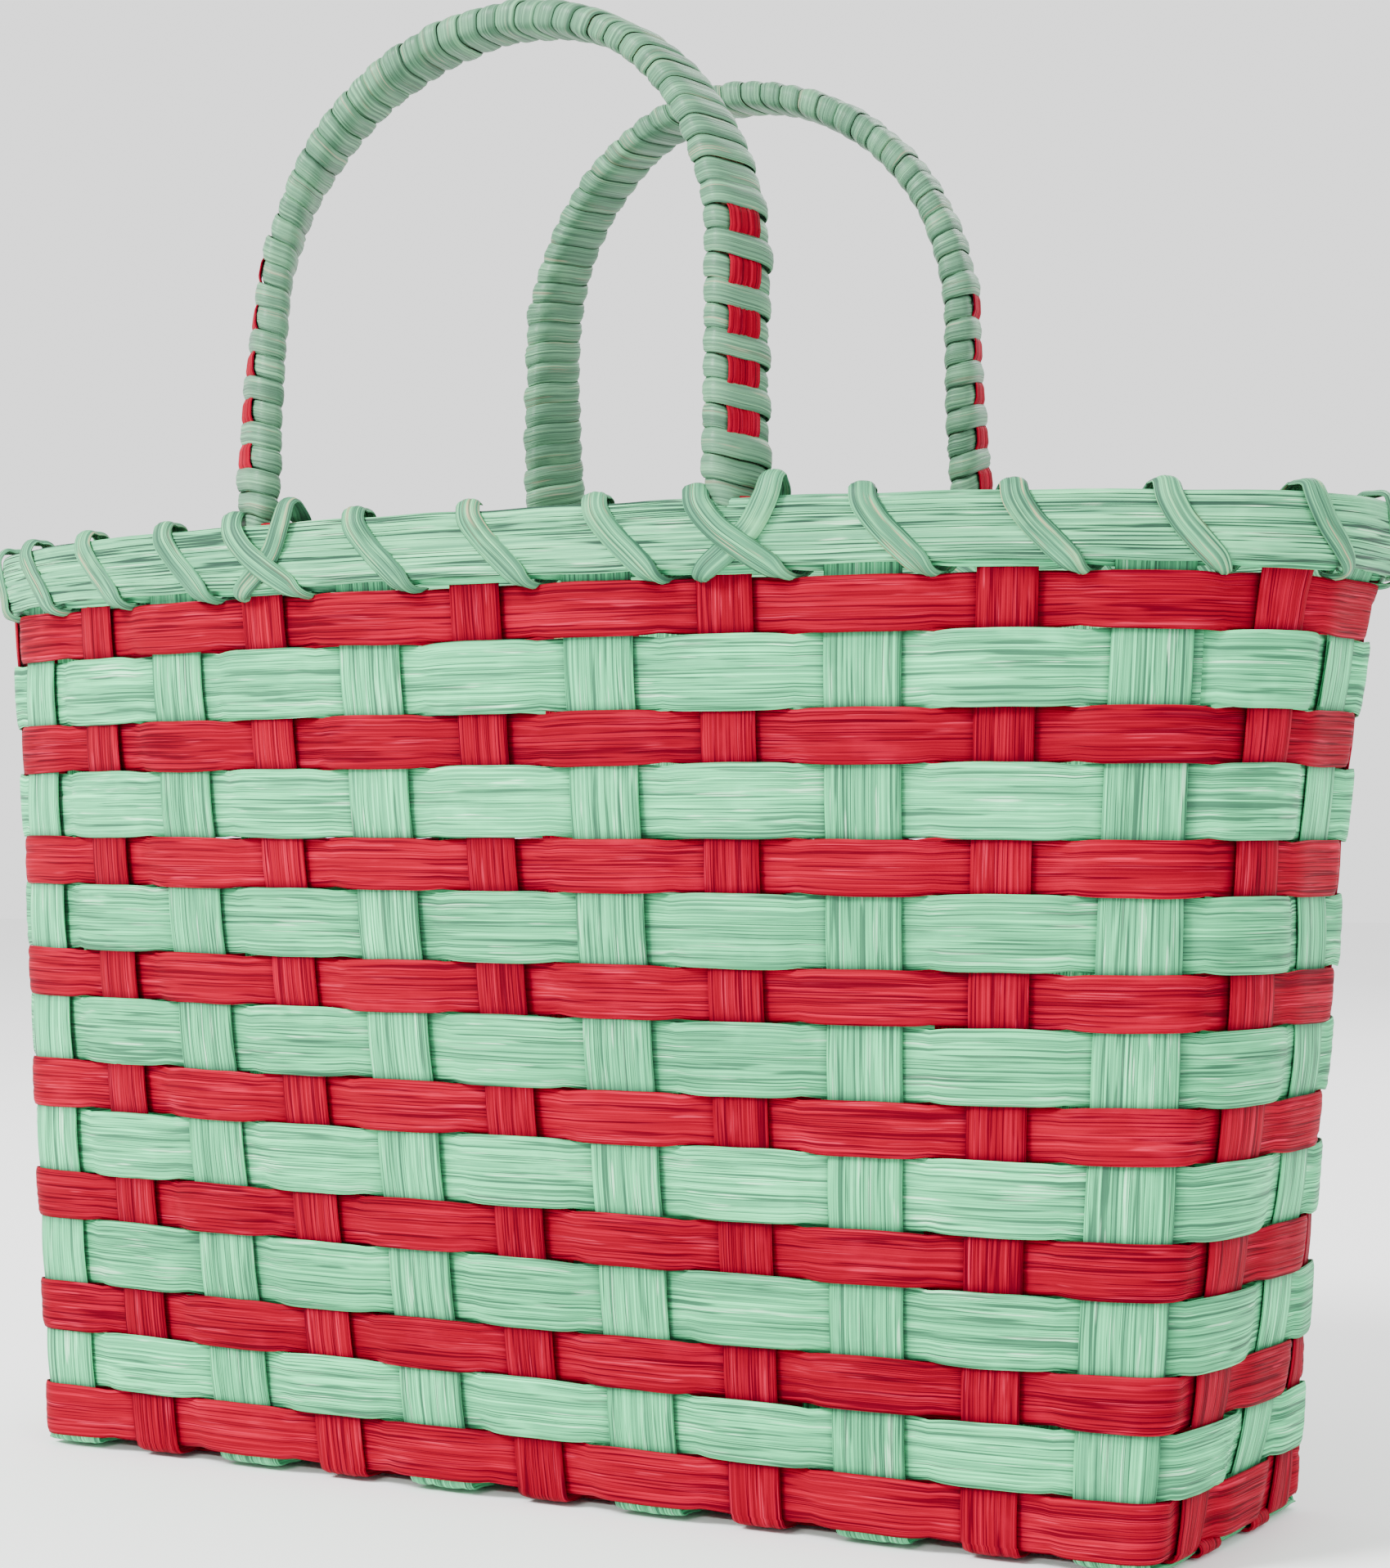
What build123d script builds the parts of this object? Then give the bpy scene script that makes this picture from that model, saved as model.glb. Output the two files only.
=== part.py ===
from build123d import *
import os
from math import ceil, cos, floor, hypot, pi, radians, sin

# Woven market basket, millimetres, +Z up.
# Origin: centre of the base, on the surface that the basket stands on.
# +X runs along the length, -Y is the front wall.
#
# The wall is a ruled surface between a rounded rectangle at the base and a nearly
# elliptical outline near the rim. A place along the wall is given by its stake number
# u, from 0 to 28: 0 is the middle of the front, 7 the middle of the right end, 14 the
# middle of the back and 21 the middle of the left end. Even stakes are red, odd mint.

# ---- driving dimensions ----------------------------------------------------------
STAKES_ROUND = 28
FRONT_HALF_STAKES = 5          # stakes each side of the middle one, front and back
BASE_HALF_LENGTH = 170.0
BASE_HALF_DEPTH = 50.5
BASE_CORNER = 8.8
BASE_STAKE_PITCH = 31.84
BASE_SIDE_PITCH = 32.2
TOP_HEIGHT = 240.0             # height at which the top outline is stated
TOP_HALF_LENGTH = 203.4
TOP_FRONT_DEPTH = 83.6
TOP_BACK_DEPTH = 72.0          # the back wall flares less than the front one
TOP_CORNER_LENGTH = 198.0      # semi-axis of the elliptical corner along X
TOP_CORNER_SHARE = 0.822       # share of the depth taken by the elliptical corner
TOP_PITCH_SHARE = 0.1449       # stake pitch at the top over the quarter's length
TOP_SIDE_SHARE = 0.1436

MINT_WIDTH = 19.4
RED_WIDTH = 14.7
STAKE_THICK = 1.0
STAKE_TOP = 250.0
FOLD_TOP = 4.2                 # the stakes fold from the base into the wall below this
BEND_STEPS = 5

BASE_MID = 1.6                 # mid height of the cross stakes in the base
BASE_WAVE = 1.1                # how far the lengthwise strips pass above or below it
STRIP_GAP = 0.1
FILLER_OFFSET = 17.2           # distance of a base filler from the middle line
FILLER_FOLD_BACK = 26.0
FILLER_INSET = 0.9             # a filler is folded back this far inside the end wall

WEAVER_THICK = 0.9
WEAVER_WAVE = 1.2              # weaver mid line to wall mid surface, over a stake
WAVE_FLAT = 0.3                # flat part each side of a stake, in stake pitches
CORNER_INTERVALS = (4, 5, 8, 9)   # stake intervals, of each half round, at the corners
CORNER_PARTS = 10              # points per interval there
END_STAKES = (3.5, 10.5)       # stakes of each half round that bend round an end
ROW_GAP = 0.3
RED_ROWS = 8
RED_ROW = 13.4
MINT_ROW = 18.1
LOWEST_MINT_ROW = 15.8         # the two lowest rows are beaten down on the base
LOWEST_RED_ROW = 14.2
ROWS_TOP = 235.9

BAND_BOTTOM = 237.2
BAND_TOP = 254.6
BAND_THICK = 1.4
BAND_OFFSET = 2.5              # mid line of a rim band to the wall mid surface
TONGUE_BERTH = 0.16            # the inner band stands clear this far round a tongue
TONGUE_RAMP = 0.34             # and comes back over this much, in stake pitches
RIM_ROW_BOTTOM = 237.3
RIM_ROW_TOP = 250.4
FILLER_BOTTOM = 251.0
FILLER_TOP = 255.4
FILLER_HALF = 1.5

LASH_WIDTH = 6.5
LASH_THICK = 1.2
LASH_GAP = 0.25                # clearance between the lashing and the bands
LASH_TOP = 256.15
LASH_BOTTOM = 236.55
LASH_SLANT = 0.46              # a strand's top lies this many pitches before its bottom
LASH_LIFT = 1.35               # rise of the upper strand where two cross
LASH_SHOULDER = 1.7            # half width of the flat turns over and under the bands
LASH_EASE = 2.0                # height of a band's edge that the lashing bends over
LOWER_CROSSING = (0.36, -0.36)    # top and bottom of the lower strand at a handle leg
UPPER_CROSSING = (-0.28, 0.46)    # top and bottom of the upper strand there
INSIDE_STEPS = 6
HANDLE_STAKES = (-2, 2, 12, 16)

CORE_WIDTH = 15.4
CORE_THICK = 5.4
WRAP_WIDTH = 18.2
WRAP_THICK = 8.2
ACCENT_WIDTH = 10.7
ACCENT_THICK = 0.5
HANDLE_FOOT = 258.6            # lowest point of a leg's full section
WRAP_START = 1.6               # the wrapping starts this far above the foot
WINDOW_HEIGHT = 6.2
WINDOW_FIRST = 273.2
WINDOW_PITCH = 12.25
WINDOWS = 5
TONGUE_WIDTH = 7.0
TONGUE_THICK = 3.0
TONGUE_OFFSET = 3.2            # inside the wall mid surface
TONGUE_END = 200.0
TONGUE_TOP = 259.5
HANDLE_STEPS = 44
LEG_TWIST = 22.0               # degrees that a leg's broad face turns outwards
TWIST_LEG = 0.7                # the twist is full up to this share of a leg
TWIST_ARCH = 0.8               # and gone at this share of the arch's quarter
ACCENT_BELOW = 6.0             # an accent strip starts this far above the foot

# Each handle: half span at the rim and at the spring of the arch, height of the
# spring and of the crown (mid line), and its distance from the middle at four heights.
HANDLES = {
    "front": {"foot": 72.3, "span": 71.0, "spring": 311.0, "crown": 382.3,
              "lean": (-78.6, -77.2, -75.0, -66.5)},
    "back": {"foot": 70.0, "span": 67.5, "spring": 318.5, "crown": 386.4,
             "lean": (66.0, 60.5, 58.6, 52.5)},
}
LEAN_HEIGHTS = (258.0, 285.0, 325.0, 386.0)


# ---- wall outline ----------------------------------------------------------------
def quarter(length, depth, corner_x, corner_y, samples=240):
    """Points from the middle of the front to the middle of the right end."""
    points = [(0.0, -depth)]
    for i in range(samples + 1):
        angle = pi / 2 * i / samples
        points.append((length - corner_x + corner_x * sin(angle),
                       -(depth - corner_y) - corner_y * cos(angle)))
    points.append((length, 0.0))
    lengths = [0.0]
    for (x0, y0), (x1, y1) in zip(points, points[1:]):
        lengths.append(lengths[-1] + hypot(x1 - x0, y1 - y0))
    return points, lengths


def along(path, distance):
    """Point of a quarter at a distance along it."""
    points, lengths = path
    low, high = 0, len(lengths) - 1
    while high - low > 1:
        middle = (low + high) // 2
        if lengths[middle] > distance:
            high = middle
        else:
            low = middle
    share = (distance - lengths[low]) / (lengths[high] - lengths[low])
    (x0, y0), (x1, y1) = points[low], points[high]
    return x0 + share * (x1 - x0), y0 + share * (y1 - y0)


BASE_QUARTER = quarter(BASE_HALF_LENGTH, BASE_HALF_DEPTH, BASE_CORNER, BASE_CORNER)
TOP_QUARTERS = {
    side: quarter(TOP_HALF_LENGTH, depth, TOP_CORNER_LENGTH, TOP_CORNER_SHARE * depth)
    for side, depth in (("front", TOP_FRONT_DEPTH), ("back", TOP_BACK_DEPTH))
}


def quarter_point(path, stake, pitch, side_pitch):
    """Point of a quarter at a stake number from 0 to 7."""
    total = path[1][-1]
    marks = [pitch * i for i in range(FRONT_HALF_STAKES + 1)]
    marks += [total - side_pitch, total]
    index = min(int(floor(stake)), len(marks) - 2)
    share = stake - index
    return along(path, marks[index] + share * (marks[index + 1] - marks[index]))


def outline_point(stake, height):
    """Point of the wall's mid surface; below the fold it is the base outline."""
    stake = stake % STAKES_ROUND
    quarter_stakes = STAKES_ROUND / 4
    mirror_x = stake > 2 * quarter_stakes
    if mirror_x:
        stake = STAKES_ROUND - stake
    back = stake > quarter_stakes
    if back:
        stake = 2 * quarter_stakes - stake
    top_path = TOP_QUARTERS["back" if back else "front"]
    top_length = top_path[1][-1]
    bx, by = quarter_point(BASE_QUARTER, stake, BASE_STAKE_PITCH, BASE_SIDE_PITCH)
    tx, ty = quarter_point(top_path, stake, TOP_PITCH_SHARE * top_length,
                           TOP_SIDE_SHARE * top_length)
    share = max(0.0, height - FOLD_TOP) / (TOP_HEIGHT - FOLD_TOP)
    x = bx + share * (tx - bx)
    y = by + share * (ty - by)
    return (-x if mirror_x else x), (-y if back else y)


def wall_frame(stake, height):
    """Point, unit tangent and outward normal of the wall in plan."""
    step = 0.02
    x, y = outline_point(stake, height)
    x0, y0 = outline_point(stake - step, height)
    x1, y1 = outline_point(stake + step, height)
    size = hypot(x1 - x0, y1 - y0)
    tangent = ((x1 - x0) / size, (y1 - y0) / size)
    return (x, y), tangent, (tangent[1], -tangent[0])


def pitch_at(stake, height):
    """Millimetres along the wall per stake number."""
    step = 0.1
    (x0, y0), (x1, y1) = (outline_point(stake + s, height) for s in (-step, step))
    return hypot(x1 - x0, y1 - y0) / (2 * step)


def wall_point(stake, height, offset):
    """Point at an offset outside the wall's mid surface."""
    (x, y), _, normal = wall_frame(stake, height)
    return Vector(x + offset * normal[0], y + offset * normal[1], height)


# ---- rings that run round the wall -----------------------------------------------
def ring_curve(height, offset):
    """Closed smooth curve round the wall; offset is a function of the stake number."""
    plain = (0.0, WAVE_FLAT, 0.4, 0.5, 0.6, 1 - WAVE_FLAT)
    corner = [i / CORNER_PARTS for i in range(CORNER_PARTS)]
    points = []
    for i in range(STAKES_ROUND):
        steps = corner if i % (STAKES_ROUND // 2) in CORNER_INTERVALS else plain
        points += [wall_point(i + s, height, offset(i + s)) for s in steps]
    return Wire([Spline(*points, periodic=True).edge()])


def ring(bottom, top, offset, thick):
    """Closed band round the wall, of one thickness, between two heights."""
    def shell(shift):
        curves = [ring_curve(height, lambda u: offset(u) + shift)
                  for height in (bottom, top)]
        return Solid.make_loft(curves, ruled=True)
    return shell(thick / 2) - shell(-thick / 2)


def smooth(share):
    share = max(0.0, min(1.0, share))
    return share * share * (3 - 2 * share)


def weaver_offset(front_parity):
    """Wave of a weaver that passes outside the stakes of one parity."""
    def offset(stake):
        index = floor(stake)
        share = smooth((stake - index - WAVE_FLAT) / (1 - 2 * WAVE_FLAT))
        start = WEAVER_WAVE if index % 2 == front_parity else -WEAVER_WAVE
        return start * (1 - 2 * share)
    return offset


def inner_band_offset(stake):
    """The inner rim band swings inwards round each handle tongue."""
    clear = TONGUE_OFFSET + TONGUE_THICK / 2 + BAND_THICK / 2 + STRIP_GAP
    half = STAKES_ROUND / 2
    near = min(abs((stake - s + half) % STAKES_ROUND - half) for s in HANDLE_STAKES)
    share = smooth((near - TONGUE_BERTH) / TONGUE_RAMP)
    return -(clear + share * (BAND_OFFSET - clear))


# ---- stakes ----------------------------------------------------------------------
def section(outer, inner):
    """Closed section from its outer row and its inner row of points."""
    def edge(points):
        if len(points) == 2:
            return Line(*points).edge()
        return Spline(*points).edge()
    return Wire([edge(outer), Line(outer[-1], inner[-1]).edge(),
                 edge(inner[::-1]), Line(inner[0], outer[0]).edge()])


def across_steps(stake):
    """Places across a strip: more of them where it bends round an end of the basket."""
    place = stake % (STAKES_ROUND / 2)
    bent = END_STAKES[0] < place < END_STAKES[1]
    return (-1, -0.5, 0, 0.5, 1) if bent else (-1, 1)


def wall_section(stake, height, width, thick, offset=0.0):
    """Section of a strip that lies in the wall, bent with the outline."""
    half = width / 2 / pitch_at(stake, height)
    rows = [[wall_point(stake + s * half, height, offset + side * thick / 2)
             for s in across_steps(stake)] for side in (1, -1)]
    return section(*rows)


def fold_sections(stake, width, base_height):
    """Sections of the fold between the wall and the base, from the wall down."""
    (x, y), tangent, normal = wall_frame(stake, 0.0)
    half = width / 2 / pitch_at(stake, 0.0)
    radius = FOLD_TOP - base_height
    sections = []
    for step in range(BEND_STEPS + 1):
        share = step / BEND_STEPS
        angle = pi / 2 * share
        rows = []
        for reach in (radius + STAKE_THICK / 2, radius - STAKE_THICK / 2):
            out = reach * cos(angle) - radius
            z = FOLD_TOP - reach * sin(angle)
            row = []
            for s in across_steps(stake):
                bent = wall_point(stake + s * half, 0.0, out)
                flat = Vector(x + out * normal[0] + s * width / 2 * tangent[0],
                              y + out * normal[1] + s * width / 2 * tangent[1], 0)
                blend = bent * (1 - share) + flat * share
                row.append(Vector(blend.X, blend.Y, z))
            rows.append(row)
        sections.append(section(*rows))
    return sections


def cross_stake(number):
    """One splint up the front wall, under the basket and up the back wall."""
    width = MINT_WIDTH if number % 2 else RED_WIDTH
    x = outline_point(number, 0.0)[0]
    reach = BASE_HALF_DEPTH - (FOLD_TOP - BASE_MID)
    solid = Pos(x, 0, BASE_MID) * Box(width, 2 * reach, STAKE_THICK)
    for stake in (number % STAKES_ROUND, STAKES_ROUND // 2 - number):
        rows = [wall_section(stake, STAKE_TOP, width, STAKE_THICK)]
        solid += Solid.make_loft(rows + fold_sections(stake, width, BASE_MID), ruled=True)
    return solid


def base_height(over_odd, x):
    """Height of a lengthwise strip's mid line: above every other cross stake."""
    stake = x / BASE_STAKE_PITCH
    index = floor(stake)
    share = smooth((stake - index - WAVE_FLAT) / (1 - 2 * WAVE_FLAT))
    start = BASE_WAVE if (index % 2 == 1) == over_odd else -BASE_WAVE
    return BASE_MID + start * (1 - 2 * share)


def base_strip(over_odd, y, width, reach):
    """Lengthwise strip in the base, flat under or over each cross stake."""
    last = FRONT_HALF_STAKES
    knots = [(stake + side) * BASE_STAKE_PITCH
             for stake in range(-last, last + 1) for side in (-WAVE_FLAT, WAVE_FLAT)]
    knots[0], knots[-1] = -reach, reach

    def edges(shift):
        points = [Vector(x, y - width / 2, base_height(over_odd, x) + shift) for x in knots]
        points[0].Z = base_height(over_odd, -last * BASE_STAKE_PITCH) + shift
        points[-1].Z = base_height(over_odd, last * BASE_STAKE_PITCH) + shift
        pieces = []
        for a, b in zip(points, points[1:]):
            if abs(a.Z - b.Z) < 1e-6:
                pieces.append(Line(a, b).edge())
            else:
                pieces.append(Spline(a, b, tangents=[(1, 0, 0), (1, 0, 0)]).edge())
        return pieces, points[0], points[-1]
    low, low_start, low_end = edges(-STAKE_THICK / 2)
    high, high_start, high_end = edges(STAKE_THICK / 2)
    outline = Wire(low + high + [Line(low_start, high_start).edge(),
                                 Line(low_end, high_end).edge()])
    return Solid.extrude(Face(outline), Vector(0, width, 0))


def long_stake(number, width):
    """One splint up the left end, along the base and up the right end."""
    y = outline_point(number, 0.0)[1]
    end_height = base_height(True, FRONT_HALF_STAKES * BASE_STAKE_PITCH)
    strip = base_strip(True, y, width, BASE_HALF_LENGTH - (FOLD_TOP - end_height))
    for stake in (number, STAKES_ROUND - number):
        rows = [wall_section(stake, STAKE_TOP, width, STAKE_THICK)]
        strip += Solid.make_loft(rows + fold_sections(stake, width, end_height), ruled=True)
    return strip


def base_filler(y):
    """Short red strip between two lengthwise stakes, folded back at both ends."""
    reach = BASE_HALF_LENGTH - FILLER_INSET
    solid = base_strip(False, y, RED_WIDTH, reach)
    outside = BASE_WAVE + STAKE_THICK / 2
    for side in (-1, 1):
        fold = Circle(outside) - Circle(BASE_WAVE - STAKE_THICK / 2)
        fold -= Pos(-side * outside, 0) * Rectangle(2 * outside, 2 * outside)
        fold = extrude(Plane.XZ * fold, RED_WIDTH / 2, both=True)
        solid += Pos(side * reach, y, BASE_MID) * fold
        tail = Box(FILLER_FOLD_BACK, RED_WIDTH, STAKE_THICK)
        solid += Pos(side * (reach - FILLER_FOLD_BACK / 2), y, BASE_MID + BASE_WAVE) * tail
    return solid


# ---- rim lashing -----------------------------------------------------------------
def lash_strands():
    """Top and bottom stake number of each strand, and whether it crosses over one."""
    strands = []
    legs = [stake % STAKES_ROUND for stake in HANDLE_STAKES]
    for stake in range(STAKES_ROUND):
        if stake in legs:
            for (top, low), crosses in ((LOWER_CROSSING, False), (UPPER_CROSSING, True)):
                strands.append((stake + top, stake + low, crosses))
        else:
            low = stake + 0.5
            strands.append((low - LASH_SLANT, low, False))
    return strands


def lash_section(stake, height, offset, lean):
    """Section of the lashing; lean is the direction of its outer side, in degrees."""
    (x, y), tangent, normal = wall_frame(stake, min(height, BAND_TOP))
    up, out = sin(radians(lean)), cos(radians(lean))
    half, thick = LASH_WIDTH / 2, LASH_THICK / 2

    def corner(along_wall, side):
        reach = offset + side * thick * out
        return Vector(x + reach * normal[0] + along_wall * half * tangent[0],
                      y + reach * normal[1] + along_wall * half * tangent[1],
                      height + side * thick * up)
    return section([corner(-1, 1), corner(1, 1)], [corner(-1, -1), corner(1, -1)])


def outer_face(stake):
    """Offset of the outer rim band's outside."""
    return BAND_OFFSET + BAND_THICK / 2


def inner_face(stake):
    """Offset of the inner rim band's inside, over the width of a strand."""
    return min(inner_band_offset(stake + s) for s in (-0.1, 0, 0.1)) - BAND_THICK / 2


def strand_outside(top, low, lift):
    """Sections of a strand over the rim and down its outside."""
    clear = LASH_THICK / 2 + LASH_GAP
    corner = clear * sin(radians(45))
    face = outer_face(top)
    stations = ((0.0, LASH_TOP, 0.0, 90),
                (0.05, LASH_TOP, LASH_SHOULDER, 80),
                (0.12, BAND_TOP + corner, face + corner + lift / 3, 45),
                (0.2, BAND_TOP - LASH_EASE, face + clear + lift / 1.5, 0),
                (0.35, BAND_TOP - 3 * LASH_EASE, face + clear + lift, 0),
                (0.65, BAND_BOTTOM + 3 * LASH_EASE, face + clear + lift, 0),
                (0.86, BAND_BOTTOM + LASH_EASE, face + clear, 0),
                (0.95, BAND_BOTTOM - corner, face + corner, -45),
                (1.0, LASH_BOTTOM, LASH_SHOULDER, -90),
                (1.0, LASH_BOTTOM, -LASH_SHOULDER, -90))
    return [lash_section(top + share * (low - top), height, offset, lean)
            for share, height, offset, lean in stations]


def strand_inside(low, following):
    """Sections of the lashing from under the rim up its inside to the next strand."""
    clear = LASH_THICK / 2 + LASH_GAP
    corner = clear * sin(radians(45))
    stations = [(0.0, BAND_BOTTOM - corner, corner, -135)]
    for step in range(INSIDE_STEPS):
        share = step / (INSIDE_STEPS - 1)
        height = BAND_BOTTOM + LASH_EASE
        height += share * (BAND_TOP - BAND_BOTTOM - 2 * LASH_EASE)
        stations.append((0.08 + 0.84 * share, height, clear, -180))
    stations.append((0.96, BAND_TOP + corner, corner, -225))
    sections = []
    for share, height, reach, lean in stations:
        stake = low + share * (following - low)
        sections.append(lash_section(stake, height, inner_face(stake) - reach, lean))
    return sections + [lash_section(following, LASH_TOP, -LASH_SHOULDER, -260)]


def rim_lashing():
    """One long splint wound round the rim, crossed at each handle leg."""
    strands = lash_strands()
    sections = []
    for (top, low, crosses), (following, *_) in zip(strands, strands[1:]):
        sections += strand_outside(top, low, LASH_LIFT if crosses else 0.0)
        sections += strand_inside(low, following)
    top, low, _ = strands[-1]
    return Solid.make_loft(sections + strand_outside(top, low, 0.0), ruled=True)


# ---- handles ---------------------------------------------------------------------
def lean_at(handle, height):
    """Distance from the middle plane at a height, through four stated places."""
    total = 0.0
    for i, zi in enumerate(LEAN_HEIGHTS):
        weight = 1.0
        for j, zj in enumerate(LEAN_HEIGHTS):
            if i != j:
                weight *= (height - zj) / (zi - zj)
        total += weight * handle["lean"][i]
    return total


def handle_lengths(handle):
    """Length of a straight leg and of a quarter of the arch."""
    arch_radius = (handle["span"] + handle["crown"] - handle["spring"]) / 2
    return handle["spring"] - HANDLE_FOOT, pi / 2 * arch_radius


def handle_place(handle, share):
    """Mid line point, outward direction and twist; share runs -1..1 foot to foot."""
    leg, arch = handle_lengths(handle)
    distance = (1 - abs(share)) * (leg + arch)
    side = -1 if share < 0 else 1
    if distance < leg:
        x = handle["foot"] + distance / leg * (handle["span"] - handle["foot"])
        z = HANDLE_FOOT + distance
        out = Vector(side, 0, 0)
    else:
        angle = pi / 2 * (distance - leg) / arch
        x = handle["span"] * cos(angle)
        z = handle["spring"] + (handle["crown"] - handle["spring"]) * sin(angle)
        out = Vector(side * cos(angle), 0, sin(angle))
    twist = 1 - smooth((distance - leg * TWIST_LEG)
                       / (leg * (1 - TWIST_LEG) + arch * TWIST_ARCH))
    return Vector(side * x, lean_at(handle, z), z), out, twist * LEG_TWIST


def handle_frame(name, share):
    """Mid line point, broad direction and outward direction across a handle."""
    handle = HANDLES[name]
    side_y = -1 if name == "front" else 1
    step = 0.004
    place, out, twist = handle_place(handle, share)
    axis = (handle_place(handle, min(1, share + step))[0]
            - handle_place(handle, max(-1, share - step))[0]).normalized()
    broad = Vector(0, side_y, 0)
    broad = (broad - axis * axis.dot(broad)).normalized()
    flat = broad.cross(axis)
    if flat.dot(out) < 0:
        flat = flat * -1
    turn = radians(twist)
    return place, broad * cos(turn) - flat * sin(turn), flat * cos(turn) + broad * sin(turn)


def handle_section(name, share, width, thick, shift=0.0):
    """Rectangular section across a handle."""
    place, across, outward = handle_frame(name, share)
    centre = place + outward * shift

    def corner(a, b):
        return centre + across * (a * width / 2) + outward * (b * thick / 2)
    return section([corner(-1, 1), corner(1, 1)], [corner(-1, -1), corner(1, -1)])


def handle_bar(name, width, thick, start=-1.0, end=1.0, shift=0.0):
    """Bar of one section along a handle, or along a stretch of it."""
    count = max(4, ceil(HANDLE_STEPS * (end - start) / 2))
    shares = [start + (end - start) * i / count for i in range(count + 1)]
    return Solid.make_loft([handle_section(name, s, width, thick, shift) for s in shares],
                           ruled=True)


def share_at_height(name, height):
    """Share of the mid line, on the right leg, at a height near the leg."""
    return 1 - (height - HANDLE_FOOT) / sum(handle_lengths(HANDLES[name]))


def tongue(name, side):
    """Sharpened end of a handle core, pushed down inside the wall."""
    front_leg = max(HANDLE_STAKES[:2])
    stake = side * front_leg if name == "front" else STAKES_ROUND / 2 - side * front_leg
    rows = [wall_section(stake, height, width, thick, -TONGUE_OFFSET)
            for height, width, thick in ((TONGUE_TOP, TONGUE_WIDTH, TONGUE_THICK),
                                         (BAND_BOTTOM, TONGUE_WIDTH, TONGUE_THICK),
                                         (TONGUE_END, TONGUE_WIDTH / 2, TONGUE_THICK / 2))]
    return Solid.make_loft(rows, ruled=True)


def handle_core(name):
    """Bent core of a handle with a sharpened tongue at each end."""
    return handle_bar(name, CORE_WIDTH, CORE_THICK) + tongue(name, -1) + tongue(name, 1)


def accent_groove(name, side, clearance):
    """Strip on the outer face of a leg's core, under the wrapping."""
    low = share_at_height(name, HANDLE_FOOT + ACCENT_BELOW)
    high = share_at_height(name, WINDOW_FIRST + WINDOW_PITCH * WINDOWS)
    start, end = (high, low) if side > 0 else (-low, -high)
    return handle_bar(name, ACCENT_WIDTH + 2 * clearance, ACCENT_THICK + 2 * clearance,
                      start, end, CORE_THICK / 2 + STRIP_GAP + ACCENT_THICK / 2)


def handle_wrap(name):
    """Wrapping of a handle, with windows where it passes under the accent strips."""
    end = share_at_height(name, HANDLE_FOOT + WRAP_START)
    wrap = handle_bar(name, WRAP_WIDTH, WRAP_THICK, -end, end)
    wrap -= handle_bar(name, CORE_WIDTH + STRIP_GAP, CORE_THICK + STRIP_GAP)
    for side in (-1, 1):
        wrap -= accent_groove(name, side, STRIP_GAP)
        for window in range(WINDOWS):
            share = side * share_at_height(name, WINDOW_FIRST + window * WINDOW_PITCH)
            place, across, outward = handle_frame(name, share)
            plane = Plane(origin=place + outward * WRAP_THICK / 2, x_dir=across,
                          z_dir=outward)
            wrap -= plane * Box(ACCENT_WIDTH, WINDOW_HEIGHT, WRAP_THICK - CORE_THICK)
    return wrap


# ---- the whole basket ------------------------------------------------------------
def stake_parts():
    parts = {}
    for number in range(-FRONT_HALF_STAKES, FRONT_HALF_STAKES + 1):
        colour = "mint" if number % 2 else "red"
        count = (number + FRONT_HALF_STAKES) // 2 + 1
        parts[f"cross_stake_{colour}_{count}"] = cross_stake(number)
    for name, number, width in (("red_front", 6, RED_WIDTH), ("mint_middle", 7, MINT_WIDTH),
                                ("red_back", 8, RED_WIDTH)):
        parts[f"long_stake_{name}"] = long_stake(number, width)
    parts["base_filler_front"] = base_filler(-FILLER_OFFSET)
    parts["base_filler_back"] = base_filler(FILLER_OFFSET)
    return parts


def weaver_parts():
    """Rows from the rim down: red rows show red over mint stakes, mint over red."""
    parts = {"weaver_mint_rim": ring(RIM_ROW_BOTTOM, RIM_ROW_TOP, weaver_offset(0),
                                     WEAVER_THICK)}
    top = ROWS_TOP
    for row in range(2 * RED_ROWS - 1):
        red = row % 2 == 0
        height = RED_ROW if red else MINT_ROW
        if row == 2 * RED_ROWS - 2:
            height = LOWEST_RED_ROW
        if row == 2 * RED_ROWS - 3:
            height = LOWEST_MINT_ROW
        name = f"weaver_{'red' if red else 'mint'}_{row // 2 + 1}"
        parts[name] = ring(top - height + ROW_GAP, top, weaver_offset(1 if red else 0),
                           WEAVER_THICK)
        top -= height
    return parts


def rim_parts():
    return {
        "rim_band_outer": ring(BAND_BOTTOM, BAND_TOP, lambda stake: BAND_OFFSET, BAND_THICK),
        "rim_band_inner": ring(BAND_BOTTOM, BAND_TOP, inner_band_offset, BAND_THICK),
        "rim_filler": ring(FILLER_BOTTOM, FILLER_TOP, lambda stake: 0.0, 2 * FILLER_HALF),
        "rim_lashing": rim_lashing(),
    }


def handle_parts():
    parts = {}
    for name in HANDLES:
        parts[f"handle_{name}_core"] = handle_core(name)
        parts[f"handle_{name}_wrap"] = handle_wrap(name)
        for side, word in ((-1, "left"), (1, "right")):
            parts[f"handle_{name}_accent_{word}"] = accent_groove(name, side, 0.0)
    return parts


def main():
    os.makedirs("parts", exist_ok=True)
    parts = {**stake_parts(), **weaver_parts(), **rim_parts(), **handle_parts()}
    for node, solid in parts.items():
        export_step(solid, f"parts/{node}.step")


main()
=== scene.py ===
import math

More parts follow.
